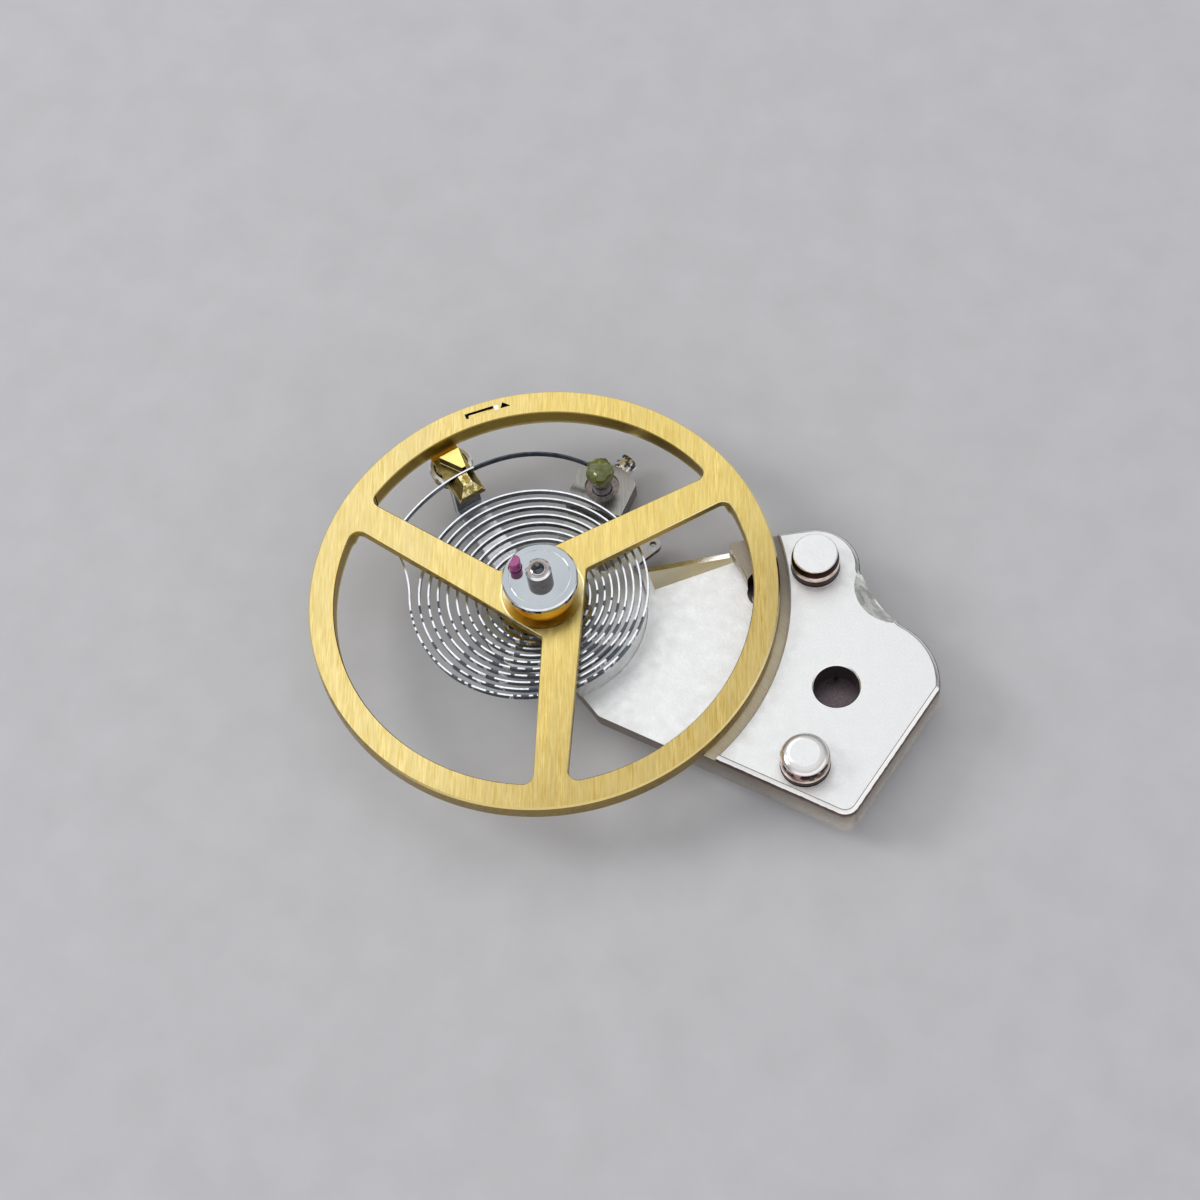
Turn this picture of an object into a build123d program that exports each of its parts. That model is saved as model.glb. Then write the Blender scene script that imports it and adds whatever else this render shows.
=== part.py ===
"""Balance of an automatic watch movement, complete on its cock.

Sizes are in millimetres. The part lies with its dial side up, as it does on a bench:
the cock's seat faces up, the roller and lower pivot stand above the wheel, and the
regulator, the stud carrier and the shock setting hang on the cock's outer side, below.

The origin is the centre of the cock's screw hole, in the plane of the seat.
+Z points up, out of the seat, and the balance axis stands at -X of the screw hole.
Heights are counted from the seat. Plans are drawn from the balance axis.
"""

from build123d import *
import math
import os

os.makedirs("parts", exist_ok=True)

# Layout: the wheel, what lies inside its rim, and the foot beyond it
wheel_diameter = 9.40
wheel_clearance = 0.18
screw_setback_share = 0.25
foot_length_share = 0.6414
foot_breadth_share = 0.5246
outer_curve_inset = 0.70
overrun = 0.50
running_gap = 0.012
free_gap = 0.02
right_angle = 90
straight_angle = 180

# Balance wheel
rim_width = 0.52
rim_height = 0.40
rim_bevel = 0.03
spoke_count = 3
spoke_angle = 46.8
spoke_height = 0.18
spoke_offset = 0.44
spoke_root_width = 0.80
spoke_tip_width = 0.65
window_fillet = 0.20
hub_foot_diameter = 1.24
hub_top_diameter = 1.00
hub_rise = 0.20
hub_recess_diameter = 2.00
hub_recess_depth = 0.03
poise_angle = 128.0
poise_length = 0.62
poise_width = 0.13
poise_depth = 0.12
poise_nick_angle = 121.0
poise_nick_radius = 0.11

# Staff, all diameters from the dial side down
pivot_diameter = 0.10
pivot_length = 0.12
pivot_tip = 1.52
cone_length = 0.07
cone_diameter = 0.28
safety_seat_diameter = 0.32
safety_seat_taper = 0.01
roller_seat_diameter = 0.44
shoulder_diameter = 0.74
wheel_seat_diameter = 0.60
collet_seat_diameter = 0.50
neck_diameter = 0.28
neck_fall = 0.08

# Rollers and impulse jewel
roller_diameter = 1.51
roller_thickness = 0.16
roller_top = 1.00
roller_bevel = 0.03
safety_diameter = 0.51
safety_height = 0.33
safety_bevel = 0.04
passing_radius = 0.12
jewel_angle = 174.7
jewel_circle_radius = 0.54
jewel_diameter = 0.26
jewel_stand = 0.28
jewel_flat_share = 0.30

# Collet
collet_diameter = 0.84
collet_height = 0.30
collet_slit = 0.05
collet_bevel = 0.03

# Hairspring: half turns whose centres lie on one line, so the coil swells to one side
spring_level = 0.0
spring_thickness = 0.035
spring_height = 0.13
spring_turns = 12
spring_start_radius = 0.43
wide_side_share = 0.813
narrow_side_share = 0.592
swell_angle = 158.0
last_turn_angle = 135.0
outer_curve_start_angle = 166.0
outer_curve_end_angle = 127.0

# Cock
foot_height = 0.88
arm_thickness = 0.40
seat_edge_bevel = 0.05
outer_edge_round = 0.06
corner_radius = 0.30
neck_corner_radius = 0.15
head_corner_radius = 0.40
head_diameter = 2.70
head_far_angle = 63.5
head_near_angle = -57.7
lobe_wall = 0.40
lobe_far_angle = 113.0
lobe_mid_angle = 64.0
lobe_near_angle = 11.7
notch_end_shares = (0.855, 0.664)
shoulder_mid_shares = (0.951, 0.508)
shoulder_end_shares = (1.000, 0.230)
near_corner_shares = (0.901, -0.998)
neck_corner_shares = (0.225, -0.723)
notch_shares = (0.8165, 0.963)
notch_radius = 0.83
notch_floor_radius = 0.44
notch_depth = 0.36

# Cock: what is sunk into its dial side, placed by shares of the seat's inner edge
ledge_depth = 0.14
pocket_radius_share = 0.654
pocket_shares = (0.240, -0.051)
coil_recess_share = 0.414
coil_recess_depth = 0.10
facet_shares = (0.389, 0.234)
facet_run_shares = (0.273, 0.225)
facet_back_shares = (-0.102, 0.092)
facet_fall = 0.22
facet_width_share = 0.16
relief_hole_shares = (0.820, 0.359)
relief_hole_radius = 0.33
relief_hole_depth = 0.42

# Cock: screw hole and steady pins
screw_hole_diameter = 0.90
screw_hole_bevel = 0.10
screw_head_diameter = 1.60
screw_head_depth = 0.34
pin_diameter = 0.96
pin_stand = 0.53
pin_undercut = 0.02
pin_stem_diameter = 0.62
pin_recess_diameter = 0.98
pin_recess_depth = 0.04
pin_sink = 0.50
pin_far_setback = 0.56
pin_far_angle = 26.2
pin_far_round = 0.05
pin_near_setback = 1.42
pin_near_angle = -16.3
pin_near_round = 0.19

# Shock block, pressed into the cock's head
block_bore_diameter = 1.44
block_wall = 0.18
block_stand = 0.42
block_lip = 0.06
block_lip_height = 0.12
block_floor = 0.16
block_hole_diameter = 0.48
setting_step = 0.11
setting_taper = 0.11
setting_wall = 0.16
setting_height = 0.30
setting_play = 0.05

# Jewels of the shock setting
hole_jewel_height = 0.12
oil_gap = 0.02
cap_jewel_height = 0.15
cap_jewel_bevel = 0.05
setting_lip = 0.04
setting_lip_hole = 0.40

# Shock spring, a flat lyre over the cap jewel
lyre_thickness = 0.04
lyre_clearance = 0.06
lyre_width = 0.10
lyre_mouth_angle = 56.0
lyre_finger_width = 0.09
lyre_finger_share = 0.144
lyre_hinge_inset = 0.02
lyre_hinge_radius = 0.025
lyre_hinge_share = 0.606
lyre_slot = 0.09

# Stud carrier
ring_gap = 0.24
carrier_thickness = 0.12
carrier_ring_width = 0.36
carrier_angle = 90.0
carrier_root_width = 0.80
carrier_tip_width = 1.16
boss_height = 0.40
boss_inner_inset = 0.56
boss_side_outset = 0.24
boss_tip_outset = 0.55
boss_left = 0.61
boss_right = 0.66
finger_angle = 59.0
finger_reach_share = 0.782
finger_width = 0.32
finger_hole = 0.07

# Stud, its screw and its glue
stud_inset = 0.32
stud_radius = 0.20
stud_ring_radius = 0.36
stud_ring_depth = 0.06
glue_radius = 0.28
glue_height = 0.42
stud_screw_angle = -18.0
stud_screw_radius = 0.09
stud_screw_head_radius = 0.20
stud_screw_head_height = 0.34
stud_screw_slot = 0.06

# Regulator index
index_thickness = 0.11
index_ring_width = 0.30
index_angle = 141.0
index_arm_width = 0.61
index_riser_thickness = 0.13
index_eye_outset = 0.45
index_eye_radius = 0.46
index_eye_mouth = 0.30
index_tail_angle = -8.0
index_tail_share = 0.95
index_tail_root = 0.62
index_tail_tip = 0.20

# Regulator block with its two prongs
shank_radius = 0.32
shank_head_radius = 0.44
shank_head_height = 0.12
shank_slot = 0.08
body_inset = 0.50
body_outset = 0.80
body_width = 0.60
body_thickness = 0.11
slot_width = 0.12
prong_rise = 0.045
hook_tip_width = 0.09
hook_root_width = 0.46
hook_clearance = 0.16
hook_skew = -0.14
inner_prong_width = 0.52

# Derived radii
wheel_radius = wheel_diameter / 2
rim_inner_radius = wheel_radius - rim_width
rim_middle_radius = wheel_radius - rim_width / 2
outer_curve_radius = rim_inner_radius - outer_curve_inset
stud_circle_radius = outer_curve_radius - stud_inset
boss_inner = stud_circle_radius - boss_inner_inset
boss_side = stud_circle_radius + boss_side_outset
boss_tip = stud_circle_radius + boss_tip_outset
finger_reach = outer_curve_radius * finger_reach_share
index_eye_circle_radius = outer_curve_radius + index_eye_outset
index_tail_reach = outer_curve_radius * index_tail_share
body_inner = outer_curve_radius - body_inset
body_outer = outer_curve_radius + body_outset
hook_root = rim_inner_radius - hook_clearance
seat_edge_radius = wheel_radius + wheel_clearance
axis_to_screw = seat_edge_radius * (1 + screw_setback_share)
cock_reach = seat_edge_radius * (1 + foot_length_share)
foot_breadth = seat_edge_radius * foot_breadth_share
pin_far_circle_radius = seat_edge_radius + pin_far_setback
pin_near_circle_radius = seat_edge_radius + pin_near_setback
pocket_radius = seat_edge_radius * pocket_radius_share
coil_recess_radius = seat_edge_radius * coil_recess_share
head_radius = head_diameter / 2
block_radius = block_bore_diameter / 2 + block_wall
setting_mouth_diameter = block_bore_diameter - setting_step * 2
setting_foot_diameter = setting_mouth_diameter - setting_taper * 2
cap_jewel_diameter = setting_mouth_diameter - setting_wall * 2
hole_jewel_diameter = setting_foot_diameter - setting_wall * 2
lyre_radius = block_bore_diameter / 2 - lyre_clearance
lyre_hinge_offset = lyre_radius - lyre_hinge_inset
lyre_hinge_length = lyre_radius * lyre_hinge_share * 2
lyre_finger_offset = lyre_radius * lyre_finger_share * 2
lip_radius = block_radius + block_lip
ring_inner_radius = block_radius + free_gap
pin_radius = pin_diameter / 2
lobe_radius = pin_radius + lobe_wall
jewel_radius = jewel_diameter / 2

# Derived heights, from the dial side down
pivot_root = pivot_tip - pivot_length
cone_root = pivot_root - cone_length
safety_top = roller_top + safety_height
roller_bottom = roller_top - roller_thickness
hub_top = rim_height + hub_rise
spoke_level = rim_height - spoke_height
collet_top = spoke_level - free_gap
collet_bottom = collet_top - collet_height
spring_top = spring_level + spring_height / 2
spring_bottom = spring_level - spring_height / 2
arm_level = arm_thickness - foot_height
recess_level = arm_level - coil_recess_depth
outer_level = -foot_height
carrier_top = outer_level - free_gap
carrier_bottom = carrier_top - carrier_thickness
index_top = carrier_bottom - free_gap
index_bottom = index_top - index_thickness
lip_top = index_bottom - free_gap
block_bottom = outer_level - block_stand
block_top = recess_level
setting_top = block_top - block_floor
setting_bottom = setting_top - setting_height
hole_jewel_top = setting_top - setting_lip
hole_jewel_bottom = hole_jewel_top - hole_jewel_height
cap_jewel_top = hole_jewel_bottom - oil_gap
cap_jewel_bottom = cap_jewel_top - cap_jewel_height
lyre_top = cap_jewel_bottom
lyre_bottom = lyre_top - lyre_thickness
staff_end = cap_jewel_top + running_gap
boss_top = carrier_bottom + boss_height
body_top = spring_bottom - free_gap
body_bottom = body_top - body_thickness
eye_top = body_bottom - free_gap
eye_bottom = eye_top - index_thickness
prong_top = spring_top + free_gap + prong_rise

balance_axis = Axis((-axis_to_screw, 0, 0), (0, 0, 1))
meridian = Plane(origin=(-axis_to_screw, 0, 0), x_dir=(1, 0, 0), z_dir=(0, -1, 0))


def plan(height, angle=0):
    """A plane square to the balance axis, at a height, with its X turned by an angle."""
    return Plane((-axis_to_screw, 0, height)).rotated((0, 0, angle))


def around(radius, angle):
    """A point at a radius and an angle about the balance axis."""
    turn = math.radians(angle)
    return (radius * math.cos(turn), radius * math.sin(turn))


pin_far_x, pin_far_y = around(pin_far_circle_radius, pin_far_angle)
pin_near_x, pin_near_y = around(pin_near_circle_radius, pin_near_angle)


def turned(profile):
    """A solid of revolution about the balance axis, from points of radius and height."""
    with BuildPart() as piece:
        with BuildSketch(meridian):
            with BuildLine():
                Polyline(*profile, close=True)
            make_face()
        revolve(axis=balance_axis)
    return piece


def save(piece, name):
    """Label a finished piece and write it to its own file."""
    piece.part.label = name
    export_step(piece.part, "parts/" + name + ".step")


# Balance wheel: a rim on three spokes that pass the centre on one side
spoke_turn = math.radians(2 * straight_angle / spoke_count)
spoke_lag = spoke_offset - spoke_root_width / 2
spoke_lead = spoke_offset + spoke_root_width / 2
spoke_valley = (spoke_lead * math.cos(spoke_turn) - spoke_lag) / math.sin(spoke_turn)
spoke_outline = [
    (0, spoke_lag),
    (rim_middle_radius, spoke_offset - spoke_tip_width / 2),
    (rim_middle_radius, spoke_offset + spoke_tip_width / 2),
    (spoke_valley, spoke_lead),
]
with BuildSketch(plan(0)) as windows:
    Circle(rim_inner_radius)
    with PolarLocations(0, spoke_count, start_angle=spoke_angle):
        Polygon(*spoke_outline, align=None, mode=Mode.SUBTRACT)
    corners = windows.vertices().sort_by_distance((0, 0, 0))[-2 * spoke_count :]
    fillet(corners, window_fillet)

with BuildPart() as balance_wheel:
    with BuildSketch(plan(0)):
        Circle(wheel_radius)
    extrude(amount=rim_height)
    chamfer(balance_wheel.edges().filter_by(GeomType.CIRCLE), rim_bevel)
    with BuildSketch(plan(0)):
        Circle(rim_inner_radius)
    extrude(amount=spoke_level, mode=Mode.SUBTRACT)
    extrude(windows.sketch, amount=rim_height, mode=Mode.SUBTRACT)
    with BuildSketch(plan(rim_height)):
        Circle(hub_recess_diameter / 2)
        Circle(hub_foot_diameter / 2, mode=Mode.SUBTRACT)
    extrude(amount=-hub_recess_depth, mode=Mode.SUBTRACT)
    with BuildSketch(plan(rim_height)):
        Circle(hub_foot_diameter / 2)
    with BuildSketch(plan(hub_top)):
        Circle(hub_top_diameter / 2)
    loft()
    with BuildSketch(plan(spoke_level)):
        Circle(wheel_seat_diameter / 2)
    extrude(amount=rim_height, mode=Mode.SUBTRACT)
    with BuildSketch(plan(rim_height)):
        with PolarLocations(rim_middle_radius, 1, start_angle=poise_angle):
            Rectangle(poise_width, poise_length)
        with PolarLocations(rim_middle_radius, 1, start_angle=poise_nick_angle):
            RegularPolygon(poise_nick_radius, 3)
    extrude(amount=-poise_depth, mode=Mode.SUBTRACT)
save(balance_wheel, "balance_wheel")

# Balance staff
balance_staff = turned(
    [
        (0, pivot_tip),
        (pivot_diameter / 2, pivot_tip),
        (pivot_diameter / 2, pivot_root),
        (cone_diameter / 2, cone_root),
        (safety_seat_diameter / 2 - safety_seat_taper, cone_root),
        (safety_seat_diameter / 2, roller_top),
        (roller_seat_diameter / 2, roller_top),
        (roller_seat_diameter / 2, roller_bottom),
        (shoulder_diameter / 2, roller_bottom),
        (shoulder_diameter / 2, hub_top),
        (wheel_seat_diameter / 2, hub_top),
        (wheel_seat_diameter / 2, spoke_level),
        (collet_seat_diameter / 2, spoke_level),
        (collet_seat_diameter / 2, collet_bottom),
        (neck_diameter / 2, collet_bottom - neck_fall),
        (neck_diameter / 2, setting_top + neck_fall),
        (pivot_diameter / 2, setting_top),
        (pivot_diameter / 2, staff_end),
        (0, staff_end),
    ]
)
save(balance_staff, "balance_staff")

# Roller table with the hole of the impulse jewel
with BuildPart() as roller_table:
    with BuildSketch(plan(roller_bottom)):
        Circle(roller_diameter / 2)
        Circle(roller_seat_diameter / 2, mode=Mode.SUBTRACT)
        with PolarLocations(jewel_circle_radius, 1, start_angle=jewel_angle):
            Circle(jewel_radius, mode=Mode.SUBTRACT)
    extrude(amount=roller_thickness)
    rings = roller_table.edges().filter_by(GeomType.CIRCLE).sort_by(SortBy.RADIUS)
    chamfer(rings[-2:], roller_bevel)
save(roller_table, "roller_table")

# Safety roller with its passing hollow
with BuildPart() as safety_roller:
    with BuildSketch(plan(roller_top)):
        Circle(safety_diameter / 2)
    extrude(amount=safety_height)
    chamfer(safety_roller.edges().sort_by(Axis.Z)[-1], safety_bevel)
    with BuildSketch(plan(roller_top)):
        Circle(safety_seat_diameter / 2)
        with PolarLocations(safety_diameter / 2 + passing_radius / 2, 1, start_angle=jewel_angle):
            Circle(passing_radius)
    extrude(amount=safety_height, mode=Mode.SUBTRACT)
save(safety_roller, "safety_roller")

# Impulse jewel, a round pin with a flat on its outer side
jewel_foot = roller_bottom - jewel_radius
with BuildPart() as impulse_jewel:
    with BuildSketch(plan(jewel_foot, jewel_angle)):
        with Locations((jewel_circle_radius, 0)):
            Circle(jewel_radius)
        with Locations((jewel_circle_radius + jewel_radius, 0)):
            flat_depth = jewel_diameter * jewel_flat_share
            Rectangle(flat_depth * 2, jewel_diameter, mode=Mode.SUBTRACT)
    extrude(amount=roller_top + jewel_stand - jewel_foot)
save(impulse_jewel, "impulse_jewel")

# Hairspring, one unbroken ribbon from the collet to the stud


def biarc_joint(start, heading, end, end_heading):
    """The point where two equal-tangent arcs meet, from two points and their headings."""
    gap = end - start
    both = heading + end_heading
    spread = 2 * (1 - heading.dot(end_heading))
    along = gap.dot(both)
    reach = (math.sqrt(along**2 + spread * gap.dot(gap)) - along) / spread
    return (start + end + (heading - end_heading) * reach) * 0.5


wide_pitch = (outer_curve_radius * wide_side_share - spring_start_radius) / spring_turns
narrow_pitch = (outer_curve_radius * narrow_side_share - spring_start_radius) / spring_turns
with BuildLine() as coil:
    for turn in range(spring_turns):
        wide = spring_start_radius + turn * wide_pitch
        narrow = spring_start_radius + (turn + 1 / 2) * narrow_pitch
        wider = wide + wide_pitch
        back_sweep = last_turn_angle if turn == spring_turns - 1 else straight_angle
        inward = around((wide - narrow) / 2, swell_angle)
        outward = around((wider - narrow) / 2, swell_angle)
        CenterArc(inward, (wide + narrow) / 2, swell_angle, -straight_angle)
        last = CenterArc(outward, (wider + narrow) / 2, swell_angle - straight_angle, -back_sweep)
    knee_heading = last % 1
    knee_end = Vector(*around(outer_curve_radius, outer_curve_start_angle))
    knee_end_heading = Vector(*around(1, outer_curve_start_angle - right_angle))
    knee = biarc_joint(last @ 1, knee_heading, knee_end, knee_end_heading)
    first_bend = TangentArc(last @ 1, knee, tangent=knee_heading)
    TangentArc(knee, knee_end, tangent=first_bend % 1)
    curve_angle = outer_curve_end_angle - outer_curve_start_angle
    outer_curve = CenterArc((0, 0), outer_curve_radius, outer_curve_start_angle, curve_angle)
    stud_point = Vector(*around(stud_circle_radius, carrier_angle))
    last_bend = TangentArc(outer_curve @ 1, stud_point, tangent=outer_curve % 1)
    stud_heading = last_bend % 1
    Line(stud_point, stud_point + stud_heading * stud_radius)
coil_wire = coil.wire().moved(plan(spring_level).location)

with BuildPart() as hairspring:
    with BuildSketch(Plane(coil_wire @ 0, x_dir=(0, 0, 1), z_dir=coil_wire % 0)):
        Rectangle(spring_height, spring_thickness)
    sweep(path=coil_wire)
save(hairspring, "hairspring")

samples = [coil_wire.position_at(i / 2400) for i in range(2401)]
least_gap = min(
    (samples[i] - samples[k]).length
    for i in range(0, len(samples), 4)
    for k in range(i + 60, len(samples))
)
print("hairspring length", round(coil_wire.length, 2))
print("hairspring least gap to itself", round(least_gap - spring_thickness, 3))

# Collet, a split ring that carries the inner end of the hairspring
with BuildPart() as hairspring_collet:
    with BuildSketch(plan(collet_bottom)):
        Circle(collet_diameter / 2)
        Circle(collet_seat_diameter / 2, mode=Mode.SUBTRACT)
    extrude(amount=collet_height)
    rings = hairspring_collet.edges().filter_by(GeomType.CIRCLE).sort_by(SortBy.RADIUS)
    chamfer(rings[-2:], collet_bevel)
    with BuildSketch(plan(collet_bottom, swell_angle + right_angle)):
        Rectangle(collet_diameter, collet_slit, align=(Align.MIN, Align.CENTER))
    extrude(amount=collet_height, mode=Mode.SUBTRACT)
    add(hairspring.part, mode=Mode.SUBTRACT)
save(hairspring_collet, "hairspring_collet")

# Cock: plan of foot, arm and head


def cock_point(shares):
    """A point of the cock's outline, from shares of its reach and of its foot's breadth."""
    return (shares[0] * cock_reach, shares[1] * foot_breadth)


def sunk_point(shares):
    """A point on the cock's dial side, from shares of the radius of the seat's inner edge."""
    return (shares[0] * seat_edge_radius, shares[1] * seat_edge_radius)


def lobe_point(angle):
    """A point of the round lobe about the far steady pin."""
    turn = math.radians(angle)
    return (pin_far_x + lobe_radius * math.cos(turn), pin_far_y + lobe_radius * math.sin(turn))


with BuildSketch(plan(0)) as cock_plan:
    with BuildLine():
        far_edge = Line(around(head_radius, head_far_angle), lobe_point(lobe_far_angle))
        lobe = ThreePointArc(far_edge @ 1, lobe_point(lobe_mid_angle), lobe_point(lobe_near_angle))
        notch_side = Line(lobe @ 1, cock_point(notch_end_shares))
        shoulder = ThreePointArc(
            notch_side @ 1, cock_point(shoulder_mid_shares), cock_point(shoulder_end_shares)
        )
        end_side = Line(shoulder @ 1, cock_point(near_corner_shares))
        near_edge = Line(end_side @ 1, cock_point(neck_corner_shares))
        neck_side = Line(near_edge @ 1, around(head_radius, head_near_angle))
        ThreePointArc(neck_side @ 1, around(head_radius, straight_angle), far_edge @ 0)
    make_face()
    rounded_corners = [
        (far_edge @ 0, head_corner_radius),
        (far_edge @ 1, corner_radius),
        (lobe @ 1, neck_corner_radius),
        (notch_side @ 1, corner_radius),
        (shoulder @ 1, corner_radius),
        (end_side @ 1, corner_radius),
        (near_edge @ 1, neck_corner_radius),
        (neck_side @ 1, head_corner_radius),
    ]
    for corner, radius in rounded_corners:
        fillet(cock_plan.vertices().sort_by_distance(corner)[0], radius)

# Balance cock
facet_x, facet_y = sunk_point(facet_shares)
relief_x, relief_y = sunk_point(relief_hole_shares)
notch_x, notch_y = cock_point(notch_shares)
facet_corner = (facet_x - axis_to_screw, facet_y, arm_level)
facet_run = Vector(*sunk_point(facet_run_shares), 0)
facet_back = Vector(*sunk_point(facet_back_shares), -facet_fall)
facet_width = seat_edge_radius * facet_width_share
facet_plane = Plane(facet_corner, x_dir=facet_run, z_dir=facet_run.cross(facet_back))
with BuildPart() as balance_cock:
    extrude(cock_plan.sketch, amount=-foot_height)
    with BuildSketch(plan(-ledge_depth)):
        Circle(seat_edge_radius)
    extrude(amount=ledge_depth, mode=Mode.SUBTRACT)
    chamfer(balance_cock.faces().sort_by(Axis.Z)[-1].edges(), seat_edge_bevel)
    fillet(balance_cock.faces().sort_by(Axis.Z)[0].edges(), outer_edge_round)
    with BuildSketch(plan(arm_level)):
        with Locations(sunk_point(pocket_shares)):
            Circle(pocket_radius)
    extrude(amount=foot_height, mode=Mode.SUBTRACT)
    with BuildSketch(plan(recess_level)):
        Circle(coil_recess_radius)
    extrude(amount=foot_height, mode=Mode.SUBTRACT)
    with BuildSketch(facet_plane):
        Rectangle(facet_run.length, facet_width, align=(Align.MIN, Align.MIN))
    extrude(amount=foot_height, mode=Mode.SUBTRACT)
    with BuildSketch(plan(outer_level)):
        Circle(block_radius)
    extrude(amount=foot_height, mode=Mode.SUBTRACT)
    with Locations((notch_x - axis_to_screw, notch_y, 0)):
        Cone(
            notch_floor_radius,
            notch_radius,
            notch_depth,
            align=(Align.CENTER, Align.CENTER, Align.MAX),
            mode=Mode.SUBTRACT,
        )
    with Locations((relief_x - axis_to_screw, relief_y, -ledge_depth)):
        Hole(relief_hole_radius, depth=relief_hole_depth)
    with Locations((0, 0, 0)):
        CounterSinkHole(
            screw_hole_diameter / 2,
            screw_hole_diameter / 2 + screw_hole_bevel,
            depth=foot_height,
            counter_sink_angle=right_angle,
        )
    with BuildSketch(Plane.XY.offset(outer_level)):
        Circle(screw_head_diameter / 2)
    extrude(amount=screw_head_depth, mode=Mode.SUBTRACT)
    with Locations(
        (pin_far_x - axis_to_screw, pin_far_y, 0), (pin_near_x - axis_to_screw, pin_near_y, 0)
    ):
        CounterBoreHole(
            pin_stem_diameter / 2, pin_recess_diameter / 2, pin_recess_depth, depth=pin_sink
        )
save(balance_cock, "balance_cock")

# Steady pins of the cock


def steady_pin(x, y, end_round):
    """One steady pin: a stem in the seat, and a wider free part with its end rounded."""
    with BuildPart() as pin:
        with BuildSketch(Plane((x - axis_to_screw, y, pin_undercut))):
            Circle(pin_radius)
        extrude(amount=pin_stand - pin_undercut)
        fillet(pin.edges().sort_by(Axis.Z)[-1], end_round)
        with BuildSketch(Plane((x - axis_to_screw, y, -pin_sink))):
            Circle(pin_stem_diameter / 2)
        extrude(amount=pin_sink + pin_undercut)
    return pin


save(steady_pin(pin_far_x, pin_far_y, pin_far_round), "steady_pin_far")
save(steady_pin(pin_near_x, pin_near_y, pin_near_round), "steady_pin_near")

# Shock block
shock_block_body = turned(
    [
        (block_hole_diameter / 2, block_top),
        (block_radius, block_top),
        (block_radius, lip_top),
        (lip_radius, lip_top - block_lip),
        (lip_radius, block_bottom + block_lip),
        (block_radius, block_bottom),
        (block_bore_diameter / 2, block_bottom),
        (block_bore_diameter / 2, setting_bottom),
        (setting_mouth_diameter / 2, setting_bottom),
        (setting_foot_diameter / 2, setting_top),
        (block_hole_diameter / 2, setting_top),
    ]
)
with BuildPart() as shock_block:
    add(shock_block_body.part)
    with BuildSketch(plan(lyre_bottom + lyre_thickness / 2 - lyre_slot / 2, straight_angle)):
        with Locations((lyre_hinge_offset, 0)):
            Rectangle(lyre_slot, lyre_hinge_length + lyre_slot)
    extrude(amount=lyre_slot, mode=Mode.SUBTRACT)
save(shock_block, "shock_block")

# Jewel setting, a loose cone in the block
mouth_radius = setting_mouth_diameter / 2 - running_gap
foot_radius = setting_foot_diameter / 2 - running_gap
jewel_setting = turned(
    [
        (setting_lip_hole / 2, setting_top),
        (foot_radius, setting_top),
        (mouth_radius, setting_bottom),
        (cap_jewel_diameter / 2, setting_bottom),
        (cap_jewel_diameter / 2, hole_jewel_bottom),
        (hole_jewel_diameter / 2, hole_jewel_bottom),
        (hole_jewel_diameter / 2, hole_jewel_top),
        (setting_lip_hole / 2, hole_jewel_top),
    ]
)
save(jewel_setting, "jewel_setting")

# Hole jewel and cap jewel
jewel_hole_radius = pivot_diameter / 2 + running_gap
oil_cup_radius = jewel_hole_radius + hole_jewel_height
hole_jewel = turned(
    [
        (jewel_hole_radius, hole_jewel_top - hole_jewel_height / 2),
        (oil_cup_radius, hole_jewel_top),
        (hole_jewel_diameter / 2, hole_jewel_top),
        (hole_jewel_diameter / 2, hole_jewel_bottom),
        (jewel_hole_radius, hole_jewel_bottom),
    ]
)
save(hole_jewel, "hole_jewel")
cap_jewel = turned(
    [
        (0, cap_jewel_top),
        (cap_jewel_diameter / 2, cap_jewel_top),
        (cap_jewel_diameter / 2, cap_jewel_bottom + cap_jewel_bevel),
        (cap_jewel_diameter / 2 - cap_jewel_bevel, cap_jewel_bottom),
        (0, cap_jewel_bottom),
    ]
)
save(cap_jewel, "cap_jewel")

# Shock spring: a lyre whose crossbar turns in the block's slot
with BuildPart() as shock_spring:
    with BuildSketch(plan(lyre_bottom, straight_angle)) as lyre_plan:
        Circle(lyre_radius)
        Circle(lyre_radius - lyre_width, mode=Mode.SUBTRACT)
        with BuildLine():
            mouth_angle = straight_angle - lyre_mouth_angle / 2
            mouth_side = around(lyre_radius * 2, mouth_angle)
            Polyline((0, 0), mouth_side, (mouth_side[0], -mouth_side[1]), close=True)
        make_face(mode=Mode.SUBTRACT)
        with Locations((0, lyre_finger_offset), (0, -lyre_finger_offset)):
            Rectangle(lyre_radius - lyre_width / 2, lyre_finger_width, align=(Align.MIN, Align.CENTER))
        with Locations((lyre_hinge_offset, 0)):
            Rectangle(lyre_hinge_radius * 2, lyre_hinge_length / 2)
    extrude(amount=lyre_thickness)
    hinge_height = lyre_bottom + lyre_thickness / 2
    with BuildSketch(
        Plane(
            (-axis_to_screw - lyre_hinge_offset, -lyre_hinge_length / 2, hinge_height),
            x_dir=(1, 0, 0),
            z_dir=(0, 1, 0),
        )
    ):
        Circle(lyre_hinge_radius)
    extrude(amount=lyre_hinge_length)
save(shock_spring, "shock_spring")

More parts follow.
